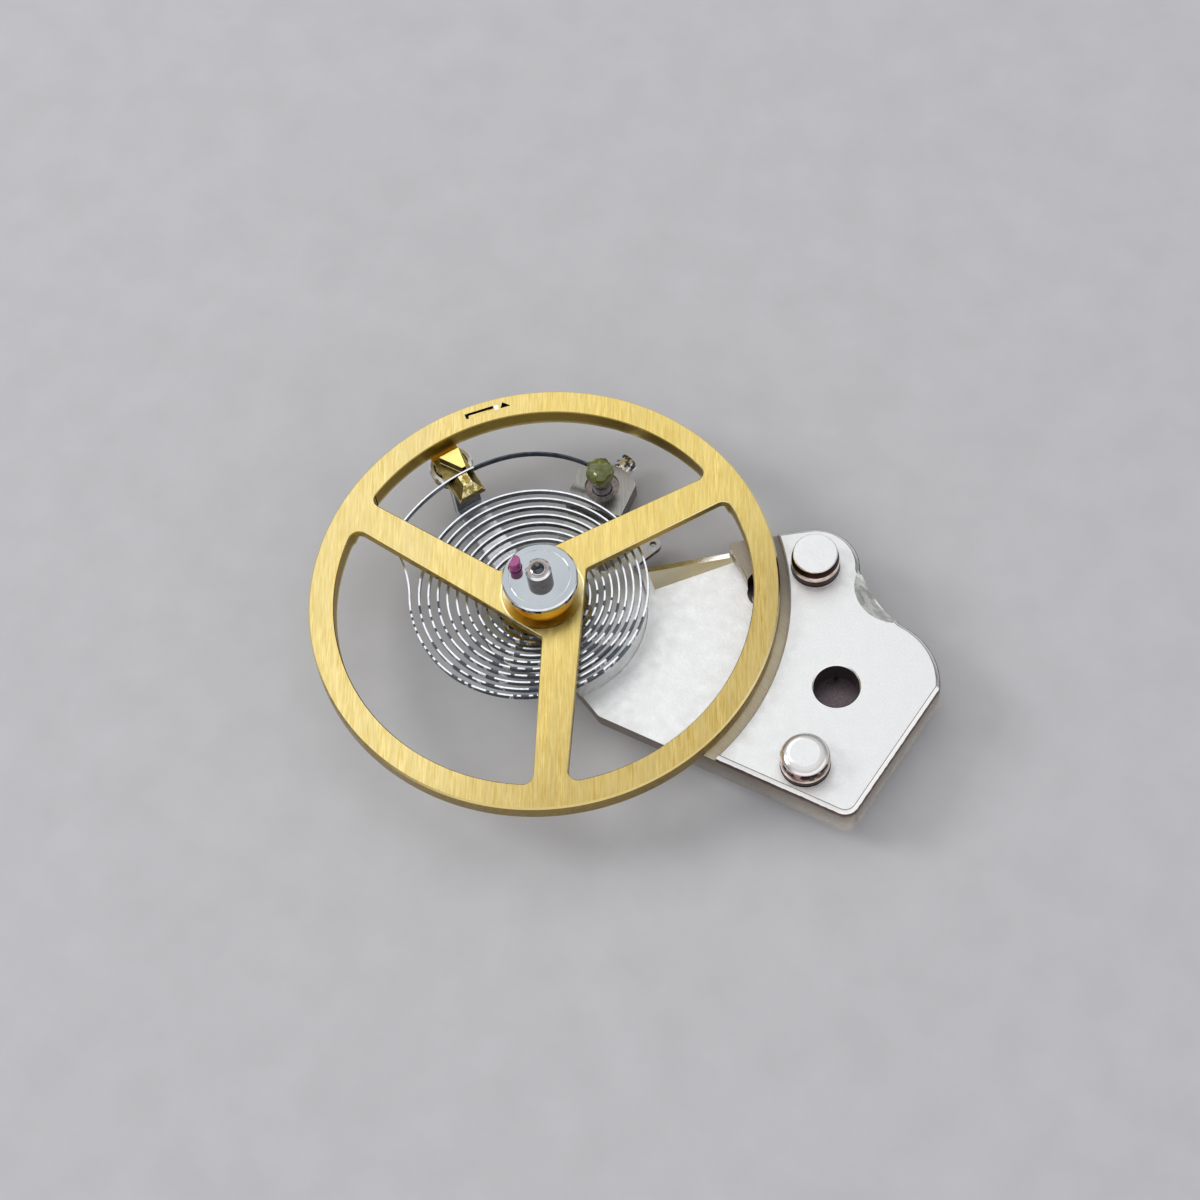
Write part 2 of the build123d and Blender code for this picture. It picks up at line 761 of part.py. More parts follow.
# Stud carrier: a split ring, an arm with the stud's boss, and a finger
carrier_ring_radius = ring_inner_radius + carrier_ring_width
stud_x, stud_y = around(stud_circle_radius, carrier_angle)
screw_line = Plane(
    (stud_x - axis_to_screw, stud_y, boss_top - boss_height / 2),
    x_dir=(0, 0, 1),
    z_dir=(*around(1, carrier_angle + stud_screw_angle), 0),
)
with BuildPart() as stud_carrier:
    with BuildSketch(plan(carrier_bottom, carrier_angle)):
        Circle(carrier_ring_radius)
        with BuildLine():
            Polyline(
                (0, -carrier_root_width / 2),
                (boss_inner + overrun, -carrier_tip_width / 2),
                (boss_inner + overrun, carrier_tip_width / 2),
                (0, carrier_root_width / 2),
                close=True,
            )
        make_face()
    extrude(amount=carrier_thickness)
    with BuildSketch(plan(carrier_bottom, finger_angle)):
        Rectangle(finger_reach, finger_width, align=(Align.MIN, Align.CENTER))
        with Locations((finger_reach, 0)):
            Circle(finger_width / 2)
            Circle(finger_hole, mode=Mode.SUBTRACT)
    extrude(amount=carrier_thickness)
    with BuildSketch(plan(carrier_bottom)):
        Circle(ring_inner_radius)
    extrude(amount=carrier_thickness, mode=Mode.SUBTRACT)
    with BuildSketch(plan(carrier_bottom, carrier_angle + straight_angle)):
        Rectangle(carrier_ring_radius * 2, ring_gap, align=(Align.MIN, Align.CENTER))
    extrude(amount=carrier_thickness, mode=Mode.SUBTRACT)
    with BuildSketch(plan(carrier_bottom, carrier_angle)):
        with BuildLine():
            boss_edge = Polyline(
                (boss_side, -boss_right),
                (boss_inner, -boss_left),
                (boss_inner, boss_left),
                (boss_side, boss_left),
            )
            ThreePointArc(boss_edge @ 1, (boss_tip, 0), boss_edge @ 0)
        make_face()
    extrude(amount=boss_height)
    with BuildSketch(plan(boss_top, carrier_angle)):
        with Locations((stud_circle_radius, 0)):
            Circle(stud_ring_radius)
    extrude(amount=-stud_ring_depth, mode=Mode.SUBTRACT)
    with BuildSketch(plan(carrier_bottom, carrier_angle)):
        with Locations((stud_circle_radius, 0)):
            Circle(stud_radius + running_gap)
    extrude(amount=boss_height, mode=Mode.SUBTRACT)
    with BuildSketch(screw_line):
        Circle(stud_screw_radius)
    extrude(amount=boss_tip, mode=Mode.SUBTRACT)
save(stud_carrier, "stud_carrier")

# Stud, its screw, and the glue that holds the hairspring in it
stud_slot_angle = math.degrees(math.atan2(stud_heading.Y, stud_heading.X))
with BuildPart() as hairspring_stud:
    with BuildSketch(plan(carrier_bottom, carrier_angle)):
        with Locations((stud_circle_radius, 0)):
            Circle(stud_radius)
    extrude(amount=spring_top - carrier_bottom)
    with BuildSketch(Plane((stud_x - axis_to_screw, stud_y, spring_top)).rotated((0, 0, stud_slot_angle))):
        Rectangle(stud_radius * 3, spring_thickness + free_gap * 2)
    extrude(amount=-spring_height - free_gap, mode=Mode.SUBTRACT)
save(hairspring_stud, "hairspring_stud")

glue_bottom = spring_top + free_gap - glue_height
with BuildPart() as stud_glue:
    with BuildSketch(plan(glue_bottom, carrier_angle)):
        with Locations((stud_circle_radius, 0)):
            Circle(glue_radius)
    extrude(amount=glue_height)
    fillet(stud_glue.edges().sort_by(Axis.Z)[-1], glue_radius / 3)
    add(hairspring_stud.part, mode=Mode.SUBTRACT)
    add(hairspring.part, mode=Mode.SUBTRACT)
save(stud_glue, "stud_glue")

head_foot = boss_tip - stud_circle_radius + running_gap
with BuildPart() as stud_screw:
    with BuildSketch(screw_line.offset(stud_radius + running_gap)):
        Circle(stud_screw_radius)
    extrude(amount=head_foot - stud_radius)
    with BuildSketch(screw_line.offset(head_foot)):
        Circle(stud_screw_head_radius)
    extrude(amount=stud_screw_head_height)
    with BuildSketch(screw_line.offset(head_foot + stud_screw_head_height)):
        Rectangle(stud_screw_slot, stud_screw_head_radius * 3)
    extrude(amount=-stud_screw_slot * 2, mode=Mode.SUBTRACT)
save(stud_screw, "stud_screw")

# Regulator index: a split ring with a tail over the cock and an arm with an open eye
index_ring_radius = ring_inner_radius + index_ring_width
eye_inner_radius = shank_radius + running_gap
index_riser_outer = index_eye_circle_radius - shank_head_radius - free_gap
index_riser_inner = index_riser_outer - index_riser_thickness
with BuildPart() as regulator_index:
    with BuildSketch(plan(index_bottom, index_angle)):
        Circle(index_ring_radius)
        Rectangle(index_riser_outer, index_arm_width, align=(Align.MIN, Align.CENTER))
    extrude(amount=index_thickness)
    with BuildSketch(plan(index_bottom, index_tail_angle)):
        with BuildLine():
            Polyline(
                (0, -index_tail_root / 2),
                (index_tail_reach, -index_tail_tip / 2),
                (index_tail_reach, index_tail_tip / 2),
                (0, index_tail_root / 2),
                close=True,
            )
        make_face()
    extrude(amount=index_thickness)
    with BuildSketch(plan(index_bottom)):
        Circle(ring_inner_radius)
    extrude(amount=index_thickness, mode=Mode.SUBTRACT)
    with BuildSketch(plan(index_bottom, carrier_angle + straight_angle)):
        Rectangle(index_ring_radius * 2, ring_gap, align=(Align.MIN, Align.CENTER))
    extrude(amount=index_thickness, mode=Mode.SUBTRACT)
    with BuildSketch(plan(index_bottom, index_angle)):
        with Locations((index_riser_inner, 0)):
            Rectangle(index_riser_thickness, index_arm_width, align=(Align.MIN, Align.CENTER))
    extrude(amount=eye_top - index_bottom)
    with BuildSketch(plan(eye_bottom, index_angle)):
        with Locations((index_riser_inner, 0)):
            Rectangle(index_eye_radius, index_arm_width, align=(Align.MIN, Align.CENTER))
        with Locations((index_eye_circle_radius, 0)):
            Circle(index_eye_radius)
            Circle(eye_inner_radius, mode=Mode.SUBTRACT)
            Rectangle(
                index_eye_radius * 2,
                index_eye_mouth,
                align=(Align.MIN, Align.CENTER),
                mode=Mode.SUBTRACT,
            )
    extrude(amount=index_thickness)
save(regulator_index, "regulator_index")

# Regulator block: a shank in the index's eye, a body, and two prongs about the hairspring
slot_inner = outer_curve_radius - slot_width / 2
slot_outer = outer_curve_radius + slot_width / 2
shank_bottom = eye_bottom - free_gap - shank_head_height
with BuildPart() as regulator_block:
    with BuildSketch(plan(body_bottom, index_angle)):
        with Locations((body_inner, 0)):
            Rectangle(body_outer - body_inner, body_width, align=(Align.MIN, Align.CENTER))
    extrude(amount=body_thickness)
    with BuildSketch(plan(body_top, index_angle)):
        with Locations((slot_inner, 0)):
            Rectangle(slot_inner - body_inner, inner_prong_width, align=(Align.MAX, Align.CENTER))
        with BuildLine():
            Polyline(
                (slot_outer, hook_skew - hook_tip_width / 2),
                (hook_root, -hook_root_width / 2),
                (hook_root, hook_root_width / 2),
                (slot_outer, hook_skew + hook_tip_width / 2),
                close=True,
            )
        make_face()
    extrude(amount=prong_top - body_top)
    with BuildSketch(plan(shank_bottom, index_angle)):
        with Locations((index_eye_circle_radius, 0)):
            Circle(shank_radius)
    extrude(amount=body_bottom - shank_bottom)
    with BuildSketch(plan(shank_bottom, index_angle)):
        with Locations((index_eye_circle_radius, 0)):
            Circle(shank_head_radius)
    extrude(amount=shank_head_height)
    with BuildSketch(plan(shank_bottom, index_angle)):
        with Locations((index_eye_circle_radius, 0)):
            Rectangle(shank_slot, shank_head_radius * 3)
    extrude(amount=shank_slot, mode=Mode.SUBTRACT)
save(regulator_block, "regulator_block")
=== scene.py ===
"""Dresses the balance of a watch movement, complete on its cock, for still pictures.

Pieces are drawn in millimetres about the balance axis, with heights counted from the
cock's seat, and are moved into the frame, in metres, when they are finished.
"""

import bmesh
import bpy
import math
from mathutils import Matrix, Vector
from mathutils import noise as wave


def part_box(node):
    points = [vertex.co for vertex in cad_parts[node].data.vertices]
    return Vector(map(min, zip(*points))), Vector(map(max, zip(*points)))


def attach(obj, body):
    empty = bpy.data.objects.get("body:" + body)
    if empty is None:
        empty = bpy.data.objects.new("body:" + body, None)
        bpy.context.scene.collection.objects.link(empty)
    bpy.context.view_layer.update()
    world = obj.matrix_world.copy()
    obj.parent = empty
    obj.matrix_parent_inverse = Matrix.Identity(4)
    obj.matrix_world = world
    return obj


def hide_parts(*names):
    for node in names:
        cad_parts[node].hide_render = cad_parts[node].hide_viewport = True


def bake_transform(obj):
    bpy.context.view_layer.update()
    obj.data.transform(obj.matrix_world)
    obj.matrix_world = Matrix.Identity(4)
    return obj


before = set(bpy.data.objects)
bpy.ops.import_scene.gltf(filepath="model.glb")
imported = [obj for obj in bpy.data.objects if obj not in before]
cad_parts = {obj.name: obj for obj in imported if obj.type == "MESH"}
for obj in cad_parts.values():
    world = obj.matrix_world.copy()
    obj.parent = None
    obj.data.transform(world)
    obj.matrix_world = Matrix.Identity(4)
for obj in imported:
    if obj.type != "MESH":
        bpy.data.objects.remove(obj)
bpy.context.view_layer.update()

bl_info = {
    "name": "Balance complete",
    "version": (1, 0, 0),
    "blender": (4, 5, 0),
    "location": "3D View > Sidebar > Balance",
    "description": "Builds the dressed pieces of a watch balance on its cock",
    "category": "Object",
}

WHEEL_LOW, WHEEL_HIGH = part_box("balance_wheel")
AXIS_X = (WHEEL_LOW.x + WHEEL_HIGH.x) / 2
FLOOR_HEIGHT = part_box("shock_block")[0].z
MILLIMETRE = 0.001
INTO_FRAME = Matrix.Translation((AXIS_X, 0, 0)) @ Matrix.Scale(MILLIMETRE, 4)
UP, DOWN = (0, 0, 1), (0, 0, -1)
BRUSH_ANGLE = 110.4
SCREW_HOLE = (6.10, 0)
FAR_PIN, NEAR_PIN = (4.881, 2.402), (6.047, -1.768)


# Properties


def length(name, description, millimetres):
    """A length property, given in millimetres and kept in metres."""
    return bpy.props.FloatProperty(
        name=name,
        description=description,
        default=millimetres * MILLIMETRE,
        min=0.0,
        precision=6,
        subtype="DISTANCE",
        unit="LENGTH",
    )


def degrees(name, description, default):
    """An angle property, given in degrees and kept in radians."""
    return bpy.props.FloatProperty(
        name=name, description=description, default=math.radians(default), subtype="ANGLE"
    )


def colour(name, description, default):
    """A colour property."""
    return bpy.props.FloatVectorProperty(
        name=name, description=description, default=default, size=3, min=0.0, max=1.0, subtype="COLOR"
    )


class BalanceSizes(bpy.types.PropertyGroup):
    """Sizes of the dressed pieces."""

    wheel_radius: length("Wheel radius", "Radius of the rim's outer wall", 4.70)
    rim_width: length("Rim width", "Width of the rim seen from above", 0.52)
    rim_height: length("Rim height", "Height of the rim", 0.40)
    rim_bevel: length("Rim bevel", "Width of the polished bevels on the rim", 0.035)
    spoke_height: length("Spoke thickness", "Thickness of the spokes", 0.18)
    spoke_count: bpy.props.IntProperty(
        name="Spokes", description="How many spokes and windows", default=3, min=2, max=6
    )
    spoke_angle: degrees("Spoke angle", "Direction of the first spoke", 46.8)
    window_fillet: length("Window corner", "Radius of the windows' outer corners", 0.20)
    edge_gleam: length("Edge bevel", "Width of the bevel along worn and polished edges", 0.012)
    strip_height: length("Strip height", "Height of the hairspring's strip", 0.13)
    strip_thickness: length("Strip thickness", "Thickness of the hairspring's strip", 0.035)
    spring_turns: bpy.props.IntProperty(
        name="Turns", description="Whole turns of the hairspring", default=12, min=3, max=20
    )
    spring_start: length("First turn", "Radius at which the hairspring leaves the collet", 0.43)
    wide_pitch: length("Wide pitch", "Step of a turn on the side where the coil swells", 0.19994)
    narrow_pitch: length("Narrow pitch", "Step of a turn on the other side", 0.13585)
    outer_curve: length("Outer curve", "Radius of the curve that runs through the regulator", 3.48)
    stud_circle: length("Stud circle", "Distance of the stud from the axis", 3.16)


class FinishColours(bpy.types.PropertyGroup):
    """Colours of the finishes."""

    gilt: colour("Gilt", "Brushed gilt of the wheel", (0.94, 0.785, 0.38))
    gilt_shade: colour("Gilt, low", "Brushed gilt where the grain is deep", (0.60, 0.43, 0.10))
    nickel: colour("Nickel", "Frosted nickel of the cock", (1.0, 1.0, 0.99))
    nickel_shade: colour("Nickel, low", "Frosted nickel between its grains", (0.92, 0.93, 0.93))
    steel: colour("Steel", "Polished steel", (0.74, 0.79, 0.86))
    spring: colour("Hairspring", "Alloy of the hairspring", (0.80, 0.82, 0.86))
    ruby: colour("Ruby", "Ruby of the jewels", (0.62, 0.006, 0.36))
    glue: colour("Glue", "Hardened glue on the stud", (0.22, 0.25, 0.02))
    floor: colour("Floor", "Plain pale floor", (0.60, 0.595, 0.61))


# Places, all in millimetres about the balance axis


def at(radius, angle, centre=(0, 0)):
    """A point at a radius and an angle, in degrees, about a centre."""
    turn = math.radians(angle)
    return (centre[0] + radius * math.cos(turn), centre[1] + radius * math.sin(turn))


def level(angle):
    """The level direction at an angle, in degrees."""
    return (*at(1, angle), 0)


def bearing(point):
    """The angle of a point about the axis, in degrees."""
    return math.degrees(math.atan2(point[1], point[0]))


def sweep(centre, radius, start, end, steps):
    """Points along an arc."""
    return [at(radius, start + (end - start) * k / steps, centre) for k in range(steps + 1)]


def straight(start, end, steps):
    """Points along a straight line."""
    return [
        (start[0] + (end[0] - start[0]) * k / steps, start[1] + (end[1] - start[1]) * k / steps)
        for k in range(steps + 1)
    ]


# Shader recipes; a noise's size is a count of marks to the metre

GRAIN_DEPTH = 0.000004
BORDER_MARKS, CLOUD_MARKS, WEAR_MARKS, FLOOR_MARKS, VEIL_MARKS = 9000, 450, 2600, 900, 6000


def node(tree, kind, inputs=None, **settings):
    """Adds a node, sets its options, and sets or links its sockets."""
    made = tree.nodes.new(kind)
    for option, value in settings.items():
        setattr(made, option, value)
    for socket, value in (inputs or {}).items():
        if isinstance(value, bpy.types.NodeSocket):
            tree.links.new(value, made.inputs[socket])
        else:
            made.inputs[socket].default_value = value
    return made


def blank(name):
    """An empty material with its shader, and the object coordinates to paint by."""
    made = bpy.data.materials.new(name)
    made.use_nodes = True
    tree = made.node_tree
    tree.nodes.clear()
    shader = node(tree, "ShaderNodeBsdfPrincipled")
    node(tree, "ShaderNodeOutputMaterial", {"Surface": shader.outputs["BSDF"]})
    place = node(tree, "ShaderNodeTexCoord").outputs["Object"]
    return made, tree, shader, place


def maths(tree, operation, *values):
    """The result of an operation on numbers."""
    return node(tree, "ShaderNodeMath", dict(enumerate(values)), operation=operation).outputs[0]


def vectors(tree, operation, first, second, result="Vector"):
    """The result of an operation on two vectors."""
    made = node(tree, "ShaderNodeVectorMath", {0: first, 1: second}, operation=operation)
    return made.outputs[result]


def noise(tree, place, scale, detail=3.0, roughness=0.55):
    """A noise whose marks are one over the scale wide, in metres."""
    inputs = {"Vector": place, "Scale": scale, "Detail": detail, "Roughness": roughness}
    return node(tree, "ShaderNodeTexNoise", inputs).outputs["Fac"]


def turned_place(tree, place, angle, stretch):
    """Coordinates turned by an angle about the upright and stretched along X."""
    turned = {"Vector": place, "Rotation": (0, 0, math.radians(angle)), "Scale": (stretch, 1, 1)}
    return node(tree, "ShaderNodeMapping", turned, vector_type="TEXTURE").outputs["Vector"]


def span(tree, value, low, high, to_low, to_high):
    """Maps a value from one span to another, held at the ends."""
    ends = {"From Min": low, "From Max": high, "To Min": to_low, "To Max": to_high}
    return node(tree, "ShaderNodeMapRange", {"Value": value, **ends}).outputs["Result"]


def mixed(tree, factor, first, second, blend="MIX"):
    """One colour over another by a factor."""
    made = node(tree, "ShaderNodeMix", {0: factor}, data_type="RGBA", blend_type=blend)
    for index, value in ((6, first), (7, second)):
        if isinstance(value, bpy.types.NodeSocket):
            tree.links.new(value, made.inputs[index])
        else:
            made.inputs[index].default_value = (*value, 1)
    return made.outputs[2]


def how_far(tree, place, direction, low, high, ragged):
    """How far a place lies along a direction, 0 at low and 1 at high, with a ragged border."""
    from_axis = vectors(tree, "SUBTRACT", place, (AXIS_X, 0, 0))
    along = vectors(tree, "DOT_PRODUCT", from_axis, direction, "Value")
    moved = maths(tree, "MULTIPLY_ADD", noise(tree, place, BORDER_MARKS), ragged * MILLIMETRE, along)
    middle = ragged / 2
    return span(tree, moved, (low + middle) * MILLIMETRE, (high + middle) * MILLIMETRE, 0, 1)


def metal(
    name, bright, dim, roughness, grain,
    angle=None, stretch=1.0, relief=1.0, cloud=0.35, edge=0.18, metallic=1.0, painted_grades=(),
):
    """A worked metal: a fine grain, brushed if it has an angle, clouds of tone, wear, and painted grades of
    light and shade.

    Roughness is a span, and relief a share of the grain's usual depth. Cloud is the strength
    of the clouds, and edge the softness of the grain.
    Each grade paints light or shade: it tints the metal along a direction, between two distances in
    millimetres, and ends with how ragged its border is.
    """
    made, tree, shader, place = blank(name)
    along = place if angle is None else turned_place(tree, place, angle, stretch)
    fine = noise(tree, along, grain, 4.0)
    coarse = noise(tree, along, grain / 5)
    clouds = noise(tree, place, CLOUD_MARKS, 2.0)
    wear = noise(tree, along, WEAR_MARKS if angle is None else grain * 0.7, 5.0, 0.7)
    tone = mixed(tree, span(tree, fine, 0.5 - edge, 0.5 + edge, 0, 1), dim, bright)
    soft = mixed(tree, span(tree, coarse, 0.35, 0.65, 0, min(0.55, edge * 3)), tone, bright)
    worn = mixed(tree, span(tree, wear, 0.62, 0.78, 0, 0.5), soft, dim)
    deep = [channel * (1 - cloud) for channel in dim]
    final = mixed(tree, span(tree, clouds, 0.35, 0.75, 0, cloud), worn, deep)
    # Painted light and shade, each grade along its own direction.
    for direction, low, high, tint, ragged in painted_grades:
        part = how_far(tree, place, direction, low, high, ragged)
        final = mixed(tree, part, final, tint, "MULTIPLY")
    tree.links.new(final, shader.inputs["Base Color"])
    shader.inputs["Metallic"].default_value = metallic
    tree.links.new(span(tree, coarse, 0.3, 0.7, *roughness), shader.inputs["Roughness"])
    raised = {"Strength": 0.5, "Distance": GRAIN_DEPTH * relief, "Height": fine}
    tree.links.new(node(tree, "ShaderNodeBump", raised).outputs["Normal"], shader.inputs["Normal"])
    return made


def gilt_finishes(name, tint):
    """The gilt and the brass, of the wheel, the regulator block and the shock setting."""
    gilt = tuple(tint.gilt)
    return {
        "gilt_brushed": lambda: metal(
            name, gilt, tuple(tint.gilt_shade), (0.26, 0.42), 34000,
            angle=BRUSH_ANGLE, stretch=14, relief=1.2, cloud=0.12, edge=0.22,
            # The grades paint the sheen falling off across the wheel: paler on one side, darker towards the
            # other.
            painted_grades=[
                (level(20), -2.6, 0.2, (1.0, 0.965, 0.78), 0.8),
                (level(-25), 1.0, 3.2, (0.74, 0.72, 0.76), 0.6),
            ],
        ),
        "hub_gilt": lambda: metal(
            name, (1.0, 0.88, 0.52), (0.86, 0.68, 0.28), (0.3, 0.42), 30000,
            relief=0.5, cloud=0.1, edge=0.1,
            # The grade paints amber shade under the roller on one side of the hub.
            painted_grades=[(level(-72), 0.05, 0.45, (0.80, 0.52, 0.09), 0.1)],
        ),
        # Amber gilt for the regulator block's end under the rim: painted shade.
        "gilt_amber": lambda: metal(
            name, (0.84, 0.48, 0.04), (0.62, 0.31, 0.01), (0.3, 0.42), 30000,
            relief=0.5, cloud=0.1, edge=0.1,
        ),
        "gilt_line": lambda: metal(
            name, (1.0, 0.88, 0.52), (0.86, 0.70, 0.34), (0.16, 0.3), 20000, relief=0.3, cloud=0.1,
            # The grade darkens the window bevels towards one side: painted shade.
            painted_grades=[(level(150), -0.6, 0.8, (0.42, 0.34, 0.16), 0.6)],
        ),
        # A darker copy of the gilt for the rim's outer wall: painted shade.
        "gilt_side": lambda: metal(name, (0.43, 0.30, 0.085), (0.28, 0.19, 0.04), (0.2, 0.4), 9000),
        "gilt_edge": lambda: metal(
            name, (1.0, 0.88, 0.54), (0.88, 0.72, 0.36), (0.14, 0.24), 30000, relief=0.3, cloud=0.1,
            # The grade darkens the rim's outer bevel towards one side: painted shade.
            painted_grades=[(level(-69.6), 1.5, 3.4, (0.78, 0.70, 0.48), 0.6)],
        ),
        # A dimmer copy of the gilt for the window walls, darker still above their lowest strip: painted
        # shade.
        "gilt_wall": lambda: metal(
            name, (0.88, 0.72, 0.30), (0.66, 0.50, 0.16), (0.3, 0.45), 30000, cloud=0.2,
            painted_grades=[(UP, 0.05, 0.09, (0.56, 0.48, 0.22), 0.03)],
        ),
        "gilt_bevel": lambda: metal(
            name, (1.0, 0.90, 0.58), gilt, (0.12, 0.22), 30000, relief=0.3, cloud=0.1
        ),
        "gold_block": lambda: metal(
            name, (1.0, 0.85, 0.34), (0.92, 0.68, 0.14), (0.16, 0.3), 12000, cloud=0.1
        ),
        # A dark copy of the block's gold for its sides and lower faces: painted shade.
        "block_side": lambda: metal(name, (0.30, 0.24, 0.09), (0.10, 0.07, 0.01), (0.2, 0.34), 9000),
        # Sharp bright and dark patches over deep bumps: painted reflections of small facets on real relief.
        "block_facets": lambda: metal(
            name, (1.0, 0.90, 0.50), (0.30, 0.20, 0.02), (0.1, 0.2), 7000,
            relief=16, cloud=0.1, edge=0.05,
        ),
        "brass_setting": lambda: metal(
            name, (0.80, 0.66, 0.32), (0.58, 0.45, 0.18), (0.2, 0.34), 20000
        ),
    }


def cock_finishes(name, tint):
    """The frosted nickel of the cock, its sunk and cut faces, and its steady pins."""
    return {
        "nickel_frosted": lambda: metal(
            name, tuple(tint.nickel), tuple(tint.nickel_shade), (0.42, 0.6), 20000,
            relief=1.8, cloud=0.06,
        ),
        # A warmer, dimmer copy of the nickel for walls, darker towards their top and towards the arm, with a
        # dark band under the bevel: painted shade and painted reflection of the floor.
        "nickel_wall": lambda: metal(
            name, (0.94, 0.88, 0.79), (0.70, 0.64, 0.57), (0.26, 0.42), 20000, cloud=0.2,
            painted_grades=[
                (UP, -0.66, -0.30, (0.62, 0.57, 0.54), 0.1),
                (UP, -0.24, -0.13, (0.26, 0.18, 0.15), 0.09),
                ((-1, 0, 0), -7.3, -2.6, (0.36, 0.33, 0.32), 0.5),
            ],
        ),
        "foot_bevel": lambda: metal(
            name, (1.0, 0.99, 0.97), (0.94, 0.92, 0.89), (0.12, 0.25), 24000, relief=0.3, cloud=0.1,
            # The grade darkens the lowest strip of the bevel: painted shade.
            painted_grades=[(DOWN, 0.068, 0.074, (0.10, 0.06, 0.05), 0.02)],
        ),
        "nickel_bevel": lambda: metal(
            name, (1.0, 0.98, 0.95), (0.92, 0.89, 0.86), (0.12, 0.25), 24000, relief=0.3, cloud=0.1
        ),
        "ledge_gilt": lambda: metal(
            name, (1.0, 0.95, 0.78), (0.90, 0.78, 0.54), (0.5, 0.65), 20000,
            angle=-25, stretch=8, cloud=0.1, metallic=0.35,
            # The grade darkens the ledge on its far side, under the rim: painted shade.
            painted_grades=[(level(BRUSH_ANGLE), -1.1, 0.3, (0.42, 0.41, 0.45), 0.3)],
        ),
        # A warm cream for the slanted facet: painted reflection of the gilt wheel.
        "facet_bronze": lambda: metal(
            name, (1.0, 0.97, 0.80), (0.90, 0.82, 0.60), (0.28, 0.42), 26000,
            angle=39.5, stretch=10, cloud=0.1,
        ),
        "notch_chatter": lambda: metal(
            name, (1.0, 1.0, 0.95), (0.66, 0.67, 0.62), (0.2, 0.4), 5200,
            relief=14, cloud=0.1, edge=0.06,
        ),
        "hole_shade": lambda: metal(
            name, (0.20, 0.165, 0.175), (0.09, 0.07, 0.08), (0.3, 0.5), 24000
        ),
        # A dark grey-brown for the thin line along the cock's top, the ledge's wall and the stud carrier's
        # sides and sunk ring: painted shade.
        "edge_line": lambda: metal(name, (0.34, 0.29, 0.27), (0.12, 0.09, 0.08), (0.3, 0.4), 12000),
        # The pins' bands, dark, cream and blotched, with a pinkish grade: painted reflections.
        "pin_dark": lambda: metal(
            name, (0.05, 0.018, 0.010), (0.02, 0.006, 0.004), (0.3, 0.45), 12000
        ),
        "pin_cream": lambda: metal(
            name, (1.0, 0.88, 0.80), (0.60, 0.42, 0.34), (0.14, 0.26), 8000, cloud=0.2, edge=0.1
        ),
        "pin_patches": lambda: metal(
            name, (0.97, 0.90, 0.86), (0.03, 0.01, 0.01), (0.14, 0.26), 5000, cloud=0.1, edge=0.03,
            painted_grades=[(level(-75), 1.75, 2.05, (0.62, 0.42, 0.36), 0.5)],
        ),
    }


def steel_finishes(name, tint):
    """The steel of the staff, the rollers, the index and the stud, and the hairspring's alloy."""
    steel = tuple(tint.steel)
    return {
        "steel_polished": lambda: metal(
            name, steel, (0.58, 0.64, 0.72), (0.12, 0.22), 9000, relief=0.2, cloud=0.1
        ),
        "steel_satin": lambda: metal(
            name, (0.86, 0.87, 0.90), (0.56, 0.57, 0.60), (0.3, 0.45), 18000, cloud=0.1
        ),
        "steel_mirror": lambda: metal(
            name, (0.40, 0.43, 0.45), (0.33, 0.36, 0.38), (0.04, 0.08), 1200, relief=0.1, cloud=0.05
        ),
        "steel_bevel": lambda: metal(
            name, (0.98, 0.98, 1.0), steel, (0.08, 0.16), 9000, relief=0.2, cloud=0.1
        ),
        "steel_warm": lambda: metal(
            name, (0.50, 0.45, 0.42), (0.24, 0.20, 0.19), (0.14, 0.26), 9000
        ),
        "steel_carrier": lambda: metal(
            name, (0.33, 0.32, 0.30), (0.23, 0.22, 0.20), (0.16, 0.3), 26000,
            angle=BRUSH_ANGLE, stretch=12,
        ),
        # A dark steel for the staff's tip, and for the index's sides, where it is painted shade.
        "steel_deep": lambda: metal(
            name, (0.20, 0.21, 0.23), (0.07, 0.07, 0.08), (0.14, 0.28), 12000
        ),
        # Near black with bright patches: painted reflections on the screw.
        "steel_screw": lambda: metal(
            name, (0.90, 0.90, 0.92), (0.02, 0.02, 0.03), (0.14, 0.26), 9000, cloud=0.1, edge=0.04
        ),
        "spring_edge": lambda: metal(
            name, tuple(tint.spring), (0.56, 0.58, 0.62), (0.14, 0.24), 9000, relief=0.3, cloud=0.1
        ),
        # A darker copy of the alloy for the strip's sides: painted shade.
        "spring_side": lambda: metal(
            name, (0.34, 0.37, 0.38), (0.10, 0.11, 0.12), (0.16, 0.3), 9000
        ),
        # Bright beads with near-black between: painted glints on the strip.
        "spring_ticks": lambda: metal(
            name, (1.0, 0.98, 0.97), (0.05, 0.04, 0.04), (0.14, 0.26), 14000,
            relief=2, cloud=0.1, edge=0.06,
        ),
        # Near black for the strip's far run and its dark gaps: painted shade.
        "spring_dark": lambda: metal(
            name, (0.10, 0.12, 0.15), (0.02, 0.025, 0.035), (0.16, 0.3), 9000
        ),
    }


def clear_finishes(name, tint):
    """The ruby and the glue."""
    return {
        "ruby": lambda: gem(name, tuple(tint.ruby), 0.0),
        "glue": lambda: gem(name, tuple(tint.glue), 0.06),
    }


FINISHES = {}


def finish(name):
    """The finish of that name, made when it is first asked for."""
    if name not in FINISHES:
        tint = bpy.context.scene.balance_colours
        recipes = {}
        for family in (gilt_finishes, cock_finishes, steel_finishes, clear_finishes):
            recipes.update(family(name, tint))
        FINISHES[name] = recipes[name]()
    return FINISHES[name]


